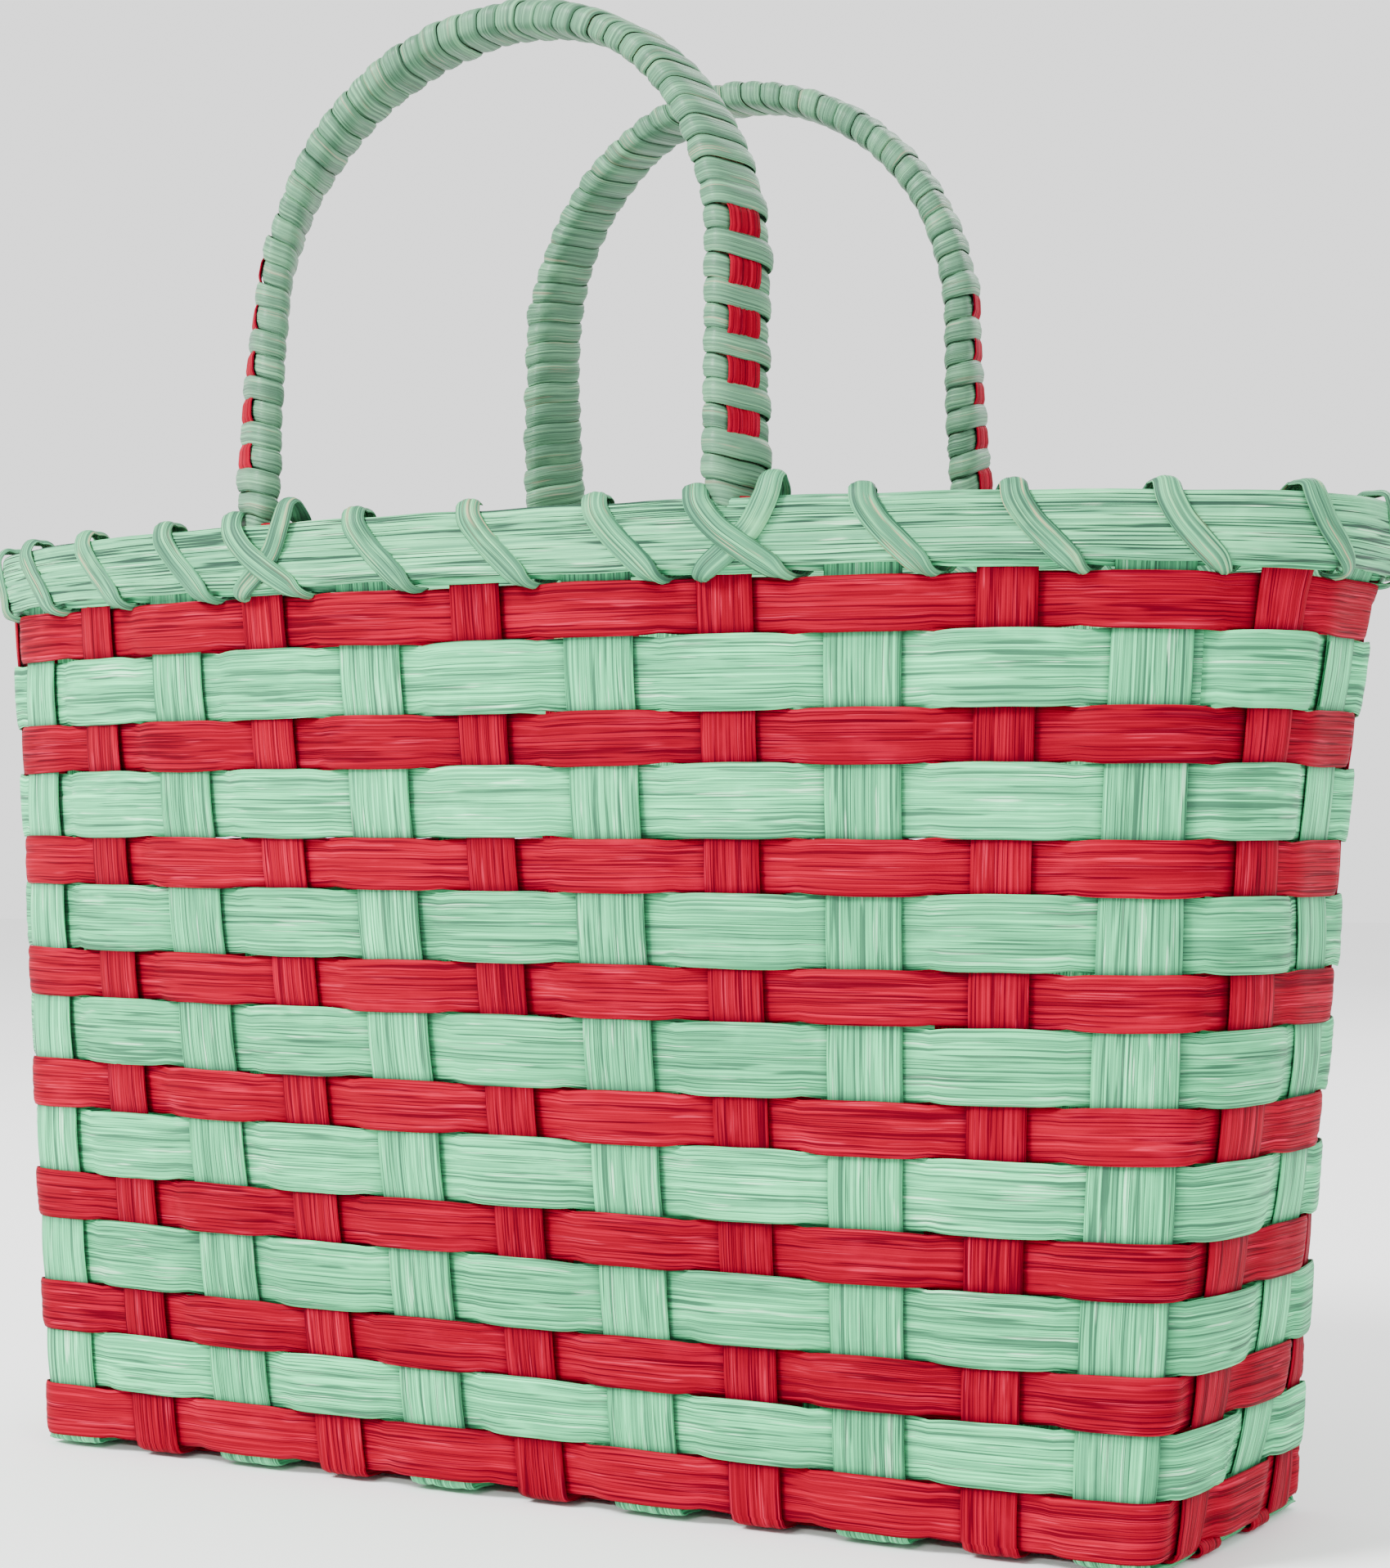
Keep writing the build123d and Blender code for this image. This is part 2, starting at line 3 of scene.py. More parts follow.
import bpy
import numpy as np
from mathutils import Matrix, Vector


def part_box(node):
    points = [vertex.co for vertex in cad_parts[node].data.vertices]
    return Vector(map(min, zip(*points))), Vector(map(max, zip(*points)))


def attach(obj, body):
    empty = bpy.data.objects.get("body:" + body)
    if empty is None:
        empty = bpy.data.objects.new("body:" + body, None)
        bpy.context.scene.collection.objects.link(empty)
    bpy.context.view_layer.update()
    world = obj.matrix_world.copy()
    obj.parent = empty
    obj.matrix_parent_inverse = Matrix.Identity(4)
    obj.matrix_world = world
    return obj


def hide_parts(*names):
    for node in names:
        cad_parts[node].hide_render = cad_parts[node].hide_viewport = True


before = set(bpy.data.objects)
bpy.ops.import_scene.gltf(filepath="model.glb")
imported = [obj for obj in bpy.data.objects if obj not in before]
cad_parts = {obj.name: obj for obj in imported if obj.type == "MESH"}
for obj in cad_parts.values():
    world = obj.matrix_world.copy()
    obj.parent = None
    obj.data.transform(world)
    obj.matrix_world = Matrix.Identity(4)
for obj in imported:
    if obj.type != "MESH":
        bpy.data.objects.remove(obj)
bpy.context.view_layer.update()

# Woven market basket. Lengths in this script are millimetres, and become metres when a
# mesh is made. A place along the wall is a stake number u, from 0 to 28: 0 is the middle
# of the front, 7 the right end, 14 the back, 21 the left end. Even stakes are red.

MM = 0.001
TAU = 2 * math.pi

# ---- the frame's design, in mm ---------------------------------------------------
STAKES = 28
FRONT_HALF = 5
BASE_HALF_LENGTH, BASE_HALF_DEPTH, BASE_CORNER = 170.0, 50.5, 8.8
BASE_PITCH, BASE_SIDE_PITCH = 31.84, 32.2
FOLD_TOP, TOP_HEIGHT = 4.2, 240.0
TOP_HALF_LENGTH, TOP_FRONT_DEPTH, TOP_BACK_DEPTH = 203.4, 83.6, 72.0
TOP_CORNER_LENGTH, TOP_CORNER_SHARE = 198.0, 0.822
TOP_PITCH_SHARE, TOP_SIDE_SHARE = 0.1449, 0.1436
MINT_WIDTH, RED_WIDTH = 19.4, 14.7
BASE_MID, BASE_WAVE = 1.6, 0.75
FILLER_OFFSET, FILLER_FOLD, FILLER_RISE, FILLER_INSET = 17.2, 26.0, 3.1, 1.0
HANDLE_STAKES = (-2, 2, 12, 16)
HANDLE_FOOT = 258.6
ACCENT_SHIFT = {"front": {"left": 0.0, "right": 1.2}, "back": {"left": 0.0, "right": 0.6}}
WINDOW_FIRST, WINDOW_PITCH, WINDOWS = 273.2, 12.25, 5
ACCENT_WIDTH = 10.7
HANDLES = {
    "front": {"foot": 72.3, "span": 71.0, "spring": 311.0, "crown": 382.3,
              "lean": (-78.6, -77.2, -75.0, -66.5), "side": -1, "sway": 1.8},
    "back": {"foot": 69.0, "span": 67.5, "spring": 318.5, "crown": 386.4,
             "lean": (66.0, 60.5, 58.6, 52.5), "side": 1, "sway": 0.0},
}
LEAN_HEIGHTS = (258.0, 285.0, 325.0, 386.0)

# ---- the looks, in mm ------------------------------------------------------------
STAKE_THICK, WEAVER_THICK, BAND_THICK = 0.9, 0.85, 1.3
WEAVE, RIM_WEAVE = 1.35, 0.95  # weaver mid line to wall mid surface over a stake
WEAVE_SQUARE = 2.4             # how suddenly a weaver changes from over to under
CROSS_DIP = 0.28               # a cross stake is pressed this far by the base strips
STAKE_SWELL = 0.3              # a stake stands out where the weaver is behind it
WALL_BULGE, END_HOLLOW, END_PINCH, END_SLIP = 1.4, 2.1, 3.2, 0.38
ROW_SWELL = 0.3                # a weaver is this much wider each side over a stake
BAND_OFFSET = 2.5
LASH_HALF_WIDTH = 3.25
CROSSING_SHADE_DARK, CROSSING_SHADE_REACH = 0.72, 1.3  # painted shade (darkening) beside a crossing, and its reach
WRAP_PITCH = 6.125
WRAP_HALF_BROAD, WRAP_HALF_FLAT, WRAP_SQUARE = 8.4, 3.45, 3.3

rng = np.random.default_rng(608)


def smooth(t):
    t = np.clip(t, 0.0, 1.0)
    return t * t * (3 - 2 * t)


def row_box(node):
    """Lowest and highest z of a CAD node, in mm."""
    low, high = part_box(node)
    return low.z / MM, high.z / MM


# ---- smooth seeded irregularity --------------------------------------------------
def waves(x, seed, length, count=5):
    """Sum of sines of random phase, about -1 to 1, with waves down to a length."""
    local = np.random.default_rng(seed)
    total = np.zeros_like(np.asarray(x, float))
    for i in range(count):
        size = length * (1 + 1.7 * i)
        total = total + np.sin(TAU * (np.asarray(x) / size + local.random()))
    return total / math.sqrt(count) / 1.4


# ---- the wall --------------------------------------------------------------------
def quarter_path(length, depth, corner_x, corner_y):
    """A quarter of an outline, from the middle of a side to the middle of an end."""
    angle = np.linspace(0, math.pi / 2, 500)
    x = np.r_[0.0, length - corner_x + corner_x * np.sin(angle), length]
    y = np.r_[-depth, -(depth - corner_y) - corner_y * np.cos(angle), 0.0]
    return x, y, np.r_[0.0, np.cumsum(np.hypot(np.diff(x), np.diff(y)))]


def quarter_points(path, stake, pitch, side_pitch):
    x, y, lengths = path
    marks = np.r_[pitch * np.arange(FRONT_HALF + 1), lengths[-1] - side_pitch, lengths[-1]]
    place = np.interp(stake, np.arange(len(marks)), marks)
    return np.interp(place, lengths, x), np.interp(place, lengths, y)


def outline_table(front, back, pitches):
    """Points round a whole outline, for stake numbers 0 to 28."""
    u = np.linspace(0, STAKES, STAKES * 60 + 1)
    folded = np.where(u > STAKES / 2, STAKES - u, u)
    at_back = folded > STAKES / 4
    folded = np.where(at_back, STAKES / 2 - folded, folded)
    fx, fy = quarter_points(front, folded, *pitches[0])
    bx, by = quarter_points(back, folded, *pitches[1])
    x = np.where(at_back, bx, fx) * np.where(u > STAKES / 2, -1, 1)
    y = np.where(at_back, -by, fy)
    return u, x, y


def top_table():
    paths, pitches = [], []
    for depth in (TOP_FRONT_DEPTH, TOP_BACK_DEPTH):
        path = quarter_path(TOP_HALF_LENGTH, depth, TOP_CORNER_LENGTH,
                            TOP_CORNER_SHARE * depth)
        paths.append(path)
        pitches.append((TOP_PITCH_SHARE * path[2][-1], TOP_SIDE_SHARE * path[2][-1]))
    return outline_table(*paths, pitches)


BASE_PATH = quarter_path(BASE_HALF_LENGTH, BASE_HALF_DEPTH, BASE_CORNER, BASE_CORNER)
BASE_TABLE = outline_table(BASE_PATH, BASE_PATH, [(BASE_PITCH, BASE_SIDE_PITCH)] * 2)
TOP_TABLE = top_table()


def table_point(table, u):
    u = np.mod(u, STAKES)
    return np.interp(u, table[0], table[1]), np.interp(u, table[0], table[2])


def wall_plan(u, z):
    """Plan position of the wall's mid surface."""
    share = np.maximum(0, z - FOLD_TOP) / (TOP_HEIGHT - FOLD_TOP)
    bx, by = table_point(BASE_TABLE, u)
    tx, ty = table_point(TOP_TABLE, u)
    return bx + share * (tx - bx), by + share * (ty - by)


def wall_normal(u, z):
    """Outward horizontal unit normal of the wall."""
    x0, y0 = wall_plan(u - 0.04, z)
    x1, y1 = wall_plan(u + 0.04, z)
    size = np.hypot(x1 - x0, y1 - y0)
    return (y1 - y0) / size, -(x1 - x0) / size


def right_end(u, spread):
    """1 at the middle of the right end, falling to 0 over a spread in stakes."""
    return np.exp(-((np.mod(u, STAKES) - STAKES / 4) / spread) ** 2)


def slipped(u, z):
    """Stake number moved where the weave of the right end has slipped backwards."""
    height = smooth((z + 5) / 55) * smooth((185 - z) / 85)
    return u + END_SLIP * height * right_end(u, 1.07)


def wall(u, z, offset):
    """Points at an offset outside the wall, with the wall's soft bulge."""
    u, z, offset = np.broadcast_arrays(*[np.asarray(a, float) for a in (u, z, offset)])
    u = slipped(u, z)
    x, y = wall_plan(u, z)
    nx, ny = wall_normal(u, z)
    rise = np.clip(z / TOP_HEIGHT, 0, 1)
    end = right_end(u, 1.3)
    bulge = WALL_BULGE * (1 - END_HOLLOW * end) * np.sin(math.pi * rise) ** 0.8
    bulge = bulge - END_PINCH * end * smooth((z - 120) / 70) * smooth((244 - z) / 16)
    bulge = bulge + 0.5 * np.sin(math.pi * rise) * waves(u, 11, 5.0)
    reach = offset + bulge
    return np.stack([x + reach * nx, y + reach * ny, z], -1)


def pitch_at(u, z):
    """Millimetres of wall per stake number."""
    x0, y0 = wall_plan(u - 0.1, z)
    x1, y1 = wall_plan(u + 0.1, z)
    return np.hypot(x1 - x0, y1 - y0) / 0.2


# ---- splints ---------------------------------------------------------------------
class Splints:
    """Collects flat strips and makes one mesh of them.

    A strip is a grid of points on its mid surface, along by across. Its outer and inner
    sides stand off the grid along the grid's own normals."""

    def __init__(self):
        self.points, self.faces, self.uvs, self.tints = [], [], [], []
        self.crossing_shades = []
        self.count = 0

    def strip(self, grid, thick, crown=0.0, ridge=0.04, outward=None, edge=0.35,
              cracks=0, crossing_shade=0.0):
        """Adds a strip. crown and ridge are heights in mm, cracks is a number of splits,
        and the last argument is painted shade: 1 where the outer side dips under another
        splint."""
        n, m = grid.shape[:2]
        v = np.linspace(-1, 1, m)
        along = np.gradient(grid, axis=0)
        across = np.gradient(grid, axis=1)
        normal = np.cross(along, across)
        normal /= np.maximum(np.linalg.norm(normal, axis=-1, keepdims=True), 1e-9)
        if outward is not None:
            flip = np.sign(np.sum(normal * outward, axis=-1, keepdims=True).mean())
            normal *= flip if flip else 1
        steps = np.linalg.norm(np.diff(grid[:, m // 2], axis=0), axis=-1)
        length = np.r_[0.0, np.cumsum(steps)]
        width = np.r_[0.0, np.cumsum(np.linalg.norm(np.diff(grid[n // 2], axis=0), axis=-1))]
        edge_share = np.clip((1 - np.abs(v)) * width[-1] / 2 / (thick * 0.7), 0, 1)
        half = thick / 2 * (edge + (1 - edge) * np.sqrt(edge_share))
        profile = crown * (1 - v ** 2)
        seed = int(rng.integers(1 << 30))
        fibres = np.stack([waves(length, seed + j, 24.0, 3) for j in range(m)], 1)
        steady = np.random.default_rng(seed).normal(0, 0.7, m)
        relief = ridge * (steady[None, :] + fibres)
        relief[:, 0] = relief[:, -1] = 0
        relief = relief + self.split_lines(length, m, seed, cracks, thick)
        outer = grid + normal * (profile + half + relief)[..., None]
        inner = grid + normal * (profile - half + 0.5 * relief[:, ::-1])[..., None]
        self.add(outer, inner, length, width)
        # painted shade per point on the outer side, none on the inner side
        dark = np.broadcast_to(crossing_shade, (n, m)).ravel()
        self.crossing_shades.append(np.concatenate([dark, np.zeros(n * m)]))

    @staticmethod
    def split_lines(length, m, seed, cracks, thick):
        """Narrow grooves along a strip, where its fibres have parted."""
        depth = np.zeros((len(length), m))
        local = np.random.default_rng(seed + 99)
        for _ in range(cracks):
            column = local.integers(2, m - 2)
            start = local.random() * length[-1]
            reach = 12 + 30 * local.random()
            inside = np.clip(1 - np.abs(length - start) / reach, 0, 1)
            depth[:, column] -= 0.3 * thick * np.sqrt(inside) * (0.5 + 0.5 * local.random())
        return depth

    def add(self, outer, inner, length, width):
        n, m = outer.shape[:2]
        base = self.count
        index = base + np.arange(n * m).reshape(n, m)
        under = index + n * m
        quads = [
            np.stack([index[:-1, :-1], index[1:, :-1], index[1:, 1:], index[:-1, 1:]], -1),
            np.stack([under[:-1, :-1], under[:-1, 1:], under[1:, 1:], under[1:, :-1]], -1),
            np.stack([index[:-1, 0], under[:-1, 0], under[1:, 0], index[1:, 0]], -1),
            np.stack([index[:-1, -1], index[1:, -1], under[1:, -1], under[:-1, -1]], -1),
            np.stack([index[0, :-1], index[0, 1:], under[0, 1:], under[0, :-1]], -1),
            np.stack([index[-1, :-1], under[-1, :-1], under[-1, 1:], index[-1, 1:]], -1),
        ]
        self.faces.append(np.concatenate([q.reshape(-1, 4) for q in quads]))
        self.points.append(outer.reshape(-1, 3))
        self.points.append(inner.reshape(-1, 3))
        shift = rng.random(2) * 3000
        uu = np.broadcast_to((length + shift[0])[:, None], (n, m))
        vv = np.broadcast_to((width + shift[1])[None, :], (n, m))
        side = np.stack([uu, vv], -1).reshape(-1, 2)
        self.uvs.append(side)
        self.uvs.append(side + np.array([0.0, 400.0]))
        self.tints.append(np.full(2 * n * m, rng.random()))
        self.count += 2 * n * m

    def make(self, name, material, slot, nodes):
        points = np.concatenate(self.points) * MM
        faces = np.concatenate(self.faces)
        mesh = bpy.data.meshes.new(name)
        mesh.vertices.add(len(points))
        mesh.vertices.foreach_set("co", points.astype(np.float32).ravel())
        mesh.loops.add(faces.size)
        mesh.loops.foreach_set("vertex_index", faces.astype(np.int32).ravel())
        mesh.polygons.add(len(faces))
        mesh.polygons.foreach_set("loop_start", np.arange(0, faces.size, 4, dtype=np.int32))
        mesh.update(calc_edges=True)
        layer = mesh.uv_layers.new(name="splint")
        uvs = np.concatenate(self.uvs)[faces.ravel()] * MM
        layer.data.foreach_set("uv", uvs.astype(np.float32).ravel())
        tint = mesh.attributes.new("tint", "FLOAT", "POINT")
        tint.data.foreach_set("value", np.concatenate(self.tints).astype(np.float32))
        crossing_shade = mesh.attributes.new("crossing_shade", "FLOAT", "POINT")
        crossing_shade.data.foreach_set("value", np.concatenate(self.crossing_shades).astype(np.float32))
        mesh.polygons.foreach_set("use_smooth", np.ones(len(faces), bool))
        mesh.validate()
        piece = bpy.data.objects.new(name, mesh)
        bpy.context.scene.collection.objects.link(piece)
        piece.data.materials.append(material)
        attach(piece, "root")
        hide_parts(*nodes)
        return piece


# ---- materials -------------------------------------------------------------------
class Graph:
    """Small helper that adds and links shader nodes."""

    def __init__(self, name):
        self.material = bpy.data.materials.new(name)
        self.material.use_nodes = True
        self.tree = self.material.node_tree
        self.shader = self.tree.nodes["Principled BSDF"]

    def node(self, kind, inputs=(), **settings):
        made = self.tree.nodes.new(kind)
        for key, value in settings.items():
            setattr(made, key, value)
        for key, value in dict(inputs).items():
            if isinstance(value, bpy.types.NodeSocket):
                self.tree.links.new(value, made.inputs[key])
            else:
                made.inputs[key].default_value = value
        return made

    def scaled(self, source, along, across):
        made = self.node("ShaderNodeMapping", {"Vector": source, "Scale": (along, across, 1)})
        return made.outputs[0]

    def noise(self, vector, detail=2.0, rough=0.5, distortion=0.0):
        made = self.node("ShaderNodeTexNoise",
                         {"Vector": vector, "Scale": 1.0, "Detail": detail,
                          "Roughness": rough, "Distortion": distortion})
        return made.outputs["Fac"]

    def thin_lines(self, uv, along, across, width, mask_along, mask_across, cut):
        """Thin broken lines along the fibres: contours of a stretched noise."""
        field = self.noise(self.scaled(uv, along, across), 1, 0.4)
        near = self.math("ABSOLUTE", self.math("SUBTRACT", field, 0.5))
        broken = self.noise(self.scaled(uv, mask_along, mask_across), 2, 0.6)
        kept = self.ramp(broken, cut, cut + 0.1)
        return self.math("MULTIPLY", self.ramp(near, width, 0.3 * width), kept)

    def ramp(self, value, low, high, out_low=0.0, out_high=1.0):
        made = self.node("ShaderNodeMapRange",
                         {"Value": value, "From Min": low, "From Max": high,
                          "To Min": out_low, "To Max": out_high},
                         interpolation_type="SMOOTHSTEP")
        return made.outputs[0]

    def mix(self, factor, first, second, blend="MIX"):
        made = self.node("ShaderNodeMix", data_type="RGBA", blend_type=blend)
        for socket, value in ((made.inputs[0], factor), (made.inputs[6], first),
                              (made.inputs[7], second)):
            if isinstance(value, bpy.types.NodeSocket):
                self.tree.links.new(value, socket)
            else:
                socket.default_value = value
        return made.outputs[2]

    def math(self, operation, first, second=0.0):
        made = self.node("ShaderNodeMath", operation=operation)
        for socket, value in zip(made.inputs, (first, second)):
            if isinstance(value, bpy.types.NodeSocket):
                self.tree.links.new(value, socket)
            else:
                socket.default_value = value
        return made.outputs[0]


def splint_material(name, base, dark, light, line, hair_glint_colour, roughness=0.5, split=0.8,
                    mottle=0.35, bump=0.5, shine=0.25, hair_glint=0.7):
    """Dyed splint: long fibres, parted dark lines, pale hairs that also serve as painted
    glints, patchy dye and painted shade beside crossings.
    """
    g = Graph(name)
    uv = g.node("ShaderNodeUVMap", uv_map="splint").outputs[0]
    tint = g.node("ShaderNodeAttribute", attribute_name="tint").outputs["Fac"]
    fine = g.noise(g.scaled(uv, 30, 2400), 2, 0.55)
    medium = g.noise(g.scaled(uv, 12, 1450), 3, 0.6)
    broad = g.noise(g.scaled(uv, 9, 150), 2, 0.5)
    patch = g.noise(g.scaled(uv, 45, 70), 3, 0.6)
    colour = g.mix(g.ramp(medium, 0.36, 0.66), dark, base)
    colour = g.mix(g.ramp(medium, 0.50, 0.76, 0.0, 0.9), colour, light)
    colour = g.mix(g.ramp(fine, 0.50, 0.24, 0.0, 0.75), colour, dark)
    colour = g.mix(g.ramp(fine, 0.55, 0.78, 0.0, 0.6), colour, light)
    colour = g.mix(g.ramp(broad, 0.58, 0.30, 0.0, mottle), colour, dark)
    colour = g.mix(g.ramp(patch, 0.52, 0.75, 0.0, mottle), colour, light)
    lines = g.thin_lines(uv, 8, 1000, 0.06, 24, 420, 0.41)
    # pale fibre hairs that are also painted glints: thin light lines along the fibres
    hair_glints = g.thin_lines(uv, 8, 1400, 0.06, 40, 420, 0.55)
    colour = g.mix(g.math("MULTIPLY", hair_glints, hair_glint), colour, hair_glint_colour)
    lines = g.math("MULTIPLY", lines, split)
    colour = g.mix(lines, colour, line)
    # painted shade beside crossings: the colour is pulled towards the dark line colour
    crossing_shade = g.node("ShaderNodeAttribute", attribute_name="crossing_shade").outputs["Fac"]
    colour = g.mix(g.math("MULTIPLY", crossing_shade, CROSSING_SHADE_DARK), colour, line)
    shade = g.ramp(tint, 0.0, 1.0, 0.88, 1.08)
    toned = g.node("ShaderNodeHueSaturation", {"Value": shade, "Color": colour}).outputs[0]
    g.tree.links.new(toned, g.shader.inputs["Base Color"])
    rough = g.ramp(fine, 0.25, 0.75, roughness + 0.12, roughness - 0.12)
    g.tree.links.new(rough, g.shader.inputs["Roughness"])
    height = g.math("ADD", g.math("MULTIPLY", fine, 0.5), g.math("MULTIPLY", medium, 0.8))
    height = g.math("SUBTRACT", height, g.math("MULTIPLY", lines, 0.9))
    bumped = g.node("ShaderNodeBump", {"Height": height, "Strength": bump,
                                       "Distance": 0.0004}).outputs[0]
    g.tree.links.new(bumped, g.shader.inputs["Normal"])
    g.shader.inputs["IOR"].default_value = 1.3
    g.shader.inputs["Specular IOR Level"].default_value = shine
    return g.material


def paint(*values):
    return values + (1.0,)


# The fifth colour of each splint is its hair colour, drawn as thin pale lines: pale fibres
# and also painted glints.
MINT = splint_material("mint_splint", paint(0.088, 0.630, 0.250), paint(0.049, 0.270, 0.125),
                       paint(0.152, 0.880, 0.380), paint(0.020, 0.060, 0.038),
                       paint(0.410, 0.860, 0.520), mottle=0.28)
RED = splint_material("red_splint", paint(0.290, 0.000, 0.0135), paint(0.170, 0.000, 0.008),
                      paint(0.430, 0.000, 0.029), paint(0.058, 0.000, 0.004),
                      paint(0.741, 0.023, 0.085), split=0.8, mottle=0.3,
                      shine=0.05, hair_glint=0.35)
RIM = splint_material("rim_splint", paint(0.126, 0.520, 0.232), paint(0.070, 0.272, 0.140),
                      paint(0.205, 0.765, 0.355), paint(0.015, 0.037, 0.027),
                      paint(0.429, 0.741, 0.468), split=0.95, mottle=0.3, bump=0.8)
LASH = splint_material("lash_splint", paint(0.087, 0.374, 0.176), paint(0.045, 0.156, 0.087),
                       paint(0.195, 0.624, 0.265), paint(0.023, 0.062, 0.043),
                       paint(0.468, 0.359, 0.203), mottle=0.45)
WRAP = splint_material("handle_wrap", paint(0.113, 0.285, 0.161), paint(0.062, 0.155, 0.092),
                       paint(0.183, 0.437, 0.222), paint(0.023, 0.055, 0.037),
                       paint(0.359, 0.328, 0.211), roughness=0.42, split=0.5,
                       mottle=0.35, shine=0.4, hair_glint=0.6)
CANE = splint_material("handle_core", paint(0.406, 0.281, 0.133), paint(0.234, 0.148, 0.062),
                       paint(0.562, 0.437, 0.250), paint(0.078, 0.047, 0.023),
                       paint(0.663, 0.562, 0.374))


# ---- weavers ---------------------------------------------------------------------
def weave(u, over_even):
    """1 over the stakes that a weaver passes outside, -1 behind the others."""
    wave = np.tanh(WEAVE_SQUARE * np.cos(math.pi * u)) / math.tanh(WEAVE_SQUARE)
    return wave if over_even else -wave


def weaver_crossing_shade(u, z, over_even):
    """Painted shade: 1 where a weaver meets the edge of a stake that lies over it, fading
    outwards.
    """
    stake = 2 * np.round((u - over_even) / 2) + over_even
    half = (MINT_WIDTH if over_even else RED_WIDTH) / 2
    gap = np.abs(u - stake) * pitch_at(u, z) - half
    return np.exp(-np.maximum(gap, 0) / CROSSING_SHADE_REACH)


def stake_crossing_shade(grid, red_stake):
    """The same painted shade on a stake, at the edges of the rows that lie over it."""
    z = grid[..., 2]
    gap = np.full(z.shape, 50.0)
    rows = [f"weaver_mint_{n}" for n in range(1, 8)] + ["weaver_mint_rim"]
    for row in rows if red_stake else [f"weaver_red_{n}" for n in range(1, 9)]:
        low, high = row_box(row)
        outside = np.maximum(low - z, z - high) - ROW_SWELL
        gap = np.minimum(gap, np.maximum(outside, 0))
    return np.exp(-gap / CROSSING_SHADE_REACH) * smooth((z - 3) / 4)


def weaver(name, material, slot, over_even, lap_start, lap, seed, tip=0.2, extra=None):
    """One long splint woven round the wall; its end lies outside its start."""
    low, high = row_box(name)
    middle, half = (low + high) / 2, (high - low) / 2
    start, end = lap_start - tip, lap_start + STAKES + lap + tip
    u = np.linspace(start, end, int((end - start) * 22))
    v = np.linspace(-1, 1, 13)
    wave = weave(u, over_even)
    tail = smooth((u - (lap_start + STAKES - 0.5)) / 0.4)
    first = smooth((lap_start + lap + 0.75 - u) / 0.3)
    step = WEAVER_THICK + 0.1
    layer = tail * step * (1 + wave) / 2 - first * step * (1 - wave) / 2
    swell = ROW_SWELL * (2 * np.abs(wave) - 1)
    drift = 0.35 * waves(u, seed, 3.1) + 0.12 * waves(u, seed + 1, 0.7)
    drift = drift - 0.25 * tail
    upper = half + swell + 0.08 * waves(u, seed + 2, 0.45) + 0.15 * waves(u, seed + 3, 2.0)
    lower = half + swell + 0.08 * waves(u, seed + 4, 0.45) + 0.15 * waves(u, seed + 5, 2.0)
    z = middle + drift[:, None] + np.where(v > 0, v * upper[:, None], v * lower[:, None])
    lean = 0.18 * waves(u, seed + 6, 1.3)
    depth = RIM_WEAVE if name.endswith("rim") else WEAVE
    offset = (depth * wave + layer)[:, None] + lean[:, None] * v
    if extra:
        offset = offset + extra(u[:, None], z)
    grid = wall(u[:, None], z, offset)
    splints = Splints()
    # the strip gets painted shade beside the stakes that lie over it
    splints.strip(grid, WEAVER_THICK, crown=0.22, outward=grid - grid.mean((0, 1)),
                  cracks=26, crossing_shade=weaver_crossing_shade(u, middle, over_even)[:, None])
    if name == "weaver_mint_1":
        add_splinter(splints, 6.72, low + 0.6, high - 1.4)
    return splints.make(name, material, slot, [name])


def add_splinter(splints, u, low, high):
    """Thin upright offcut caught between a row and the stake beside it."""
    z = np.linspace(high, low, 30)[:, None]
    v = np.linspace(-1, 1, 5)[None, :]
    width = 1.0 + 0.5 * (high - z) / (high - low)
    splints.strip(wall(u + v * width / pitch_at(u, z), z, 1.0 + 0 * v + 0 * z), 0.5)


def crumpled(u, z):
    """Creases where the lowest mint row is pressed round the end of the base."""
    place = np.mod(u, STAKES)
    window = smooth((place - 6.05) / 0.3) * smooth((6.9 - place) / 0.15)
    return 0.42 * window * waves(30 * place + 0.9 * z, 77, 3.4, 3)


def make_weavers():
    for number in range(1, 9):
        lap_start = 14 + 2 * (number % 4) - 4
        weaver(f"weaver_red_{number}", RED, "red_splint", False, lap_start, 2, 100 * number)
    for number in range(1, 8):
        lap_start, tip = (3, 0.37) if number == 1 else (13 + 2 * (number * 3 % 4) - 4, 0.2)
        weaver(f"weaver_mint_{number}", MINT, "mint_splint", True, lap_start, 2,
               100 * number + 50, tip, crumpled if number == 7 else None)
    weaver("weaver_mint_rim", MINT, "mint_splint", True, 15, 2, 990)


# ---- stakes ----------------------------------------------------------------------
def row_signs(red_stake):
    """Heights of the rows, and 1 where a stake stands out or -1 where it is pressed in."""
    heights, signs = [], []
    for number in range(8, 0, -1):
        heights.append(sum(row_box(f"weaver_red_{number}")) / 2)
        signs.append(1 if red_stake else -1)
        if number > 1:
            heights.append(sum(row_box(f"weaver_mint_{number - 1}")) / 2)
            signs.append(-1 if red_stake else 1)
    return np.array(heights), np.array(signs, float)


def stake_swell(z, red_stake):
    """How far a stake stands out of the wall at a height."""
    heights, signs = row_signs(red_stake)
    wave = np.interp(z, heights, signs)
    return STAKE_SWELL * np.sin(math.pi / 2 * wave) * smooth(z / 12)


def wall_run(stake, half, red_stake, top, v, seed):
    """Grid of a stake in the wall, from its top end down to the fold."""
    z = np.linspace(top, FOLD_TOP, 110)[:, None]
    width = half + 0.12 * waves(z, seed, 60.0)
    u = stake + v * width / pitch_at(stake, z)
    u = u + 0.012 * waves(z, seed + 1, 150.0)
    return wall(u, z, stake_swell(z, red_stake) + 0 * u)


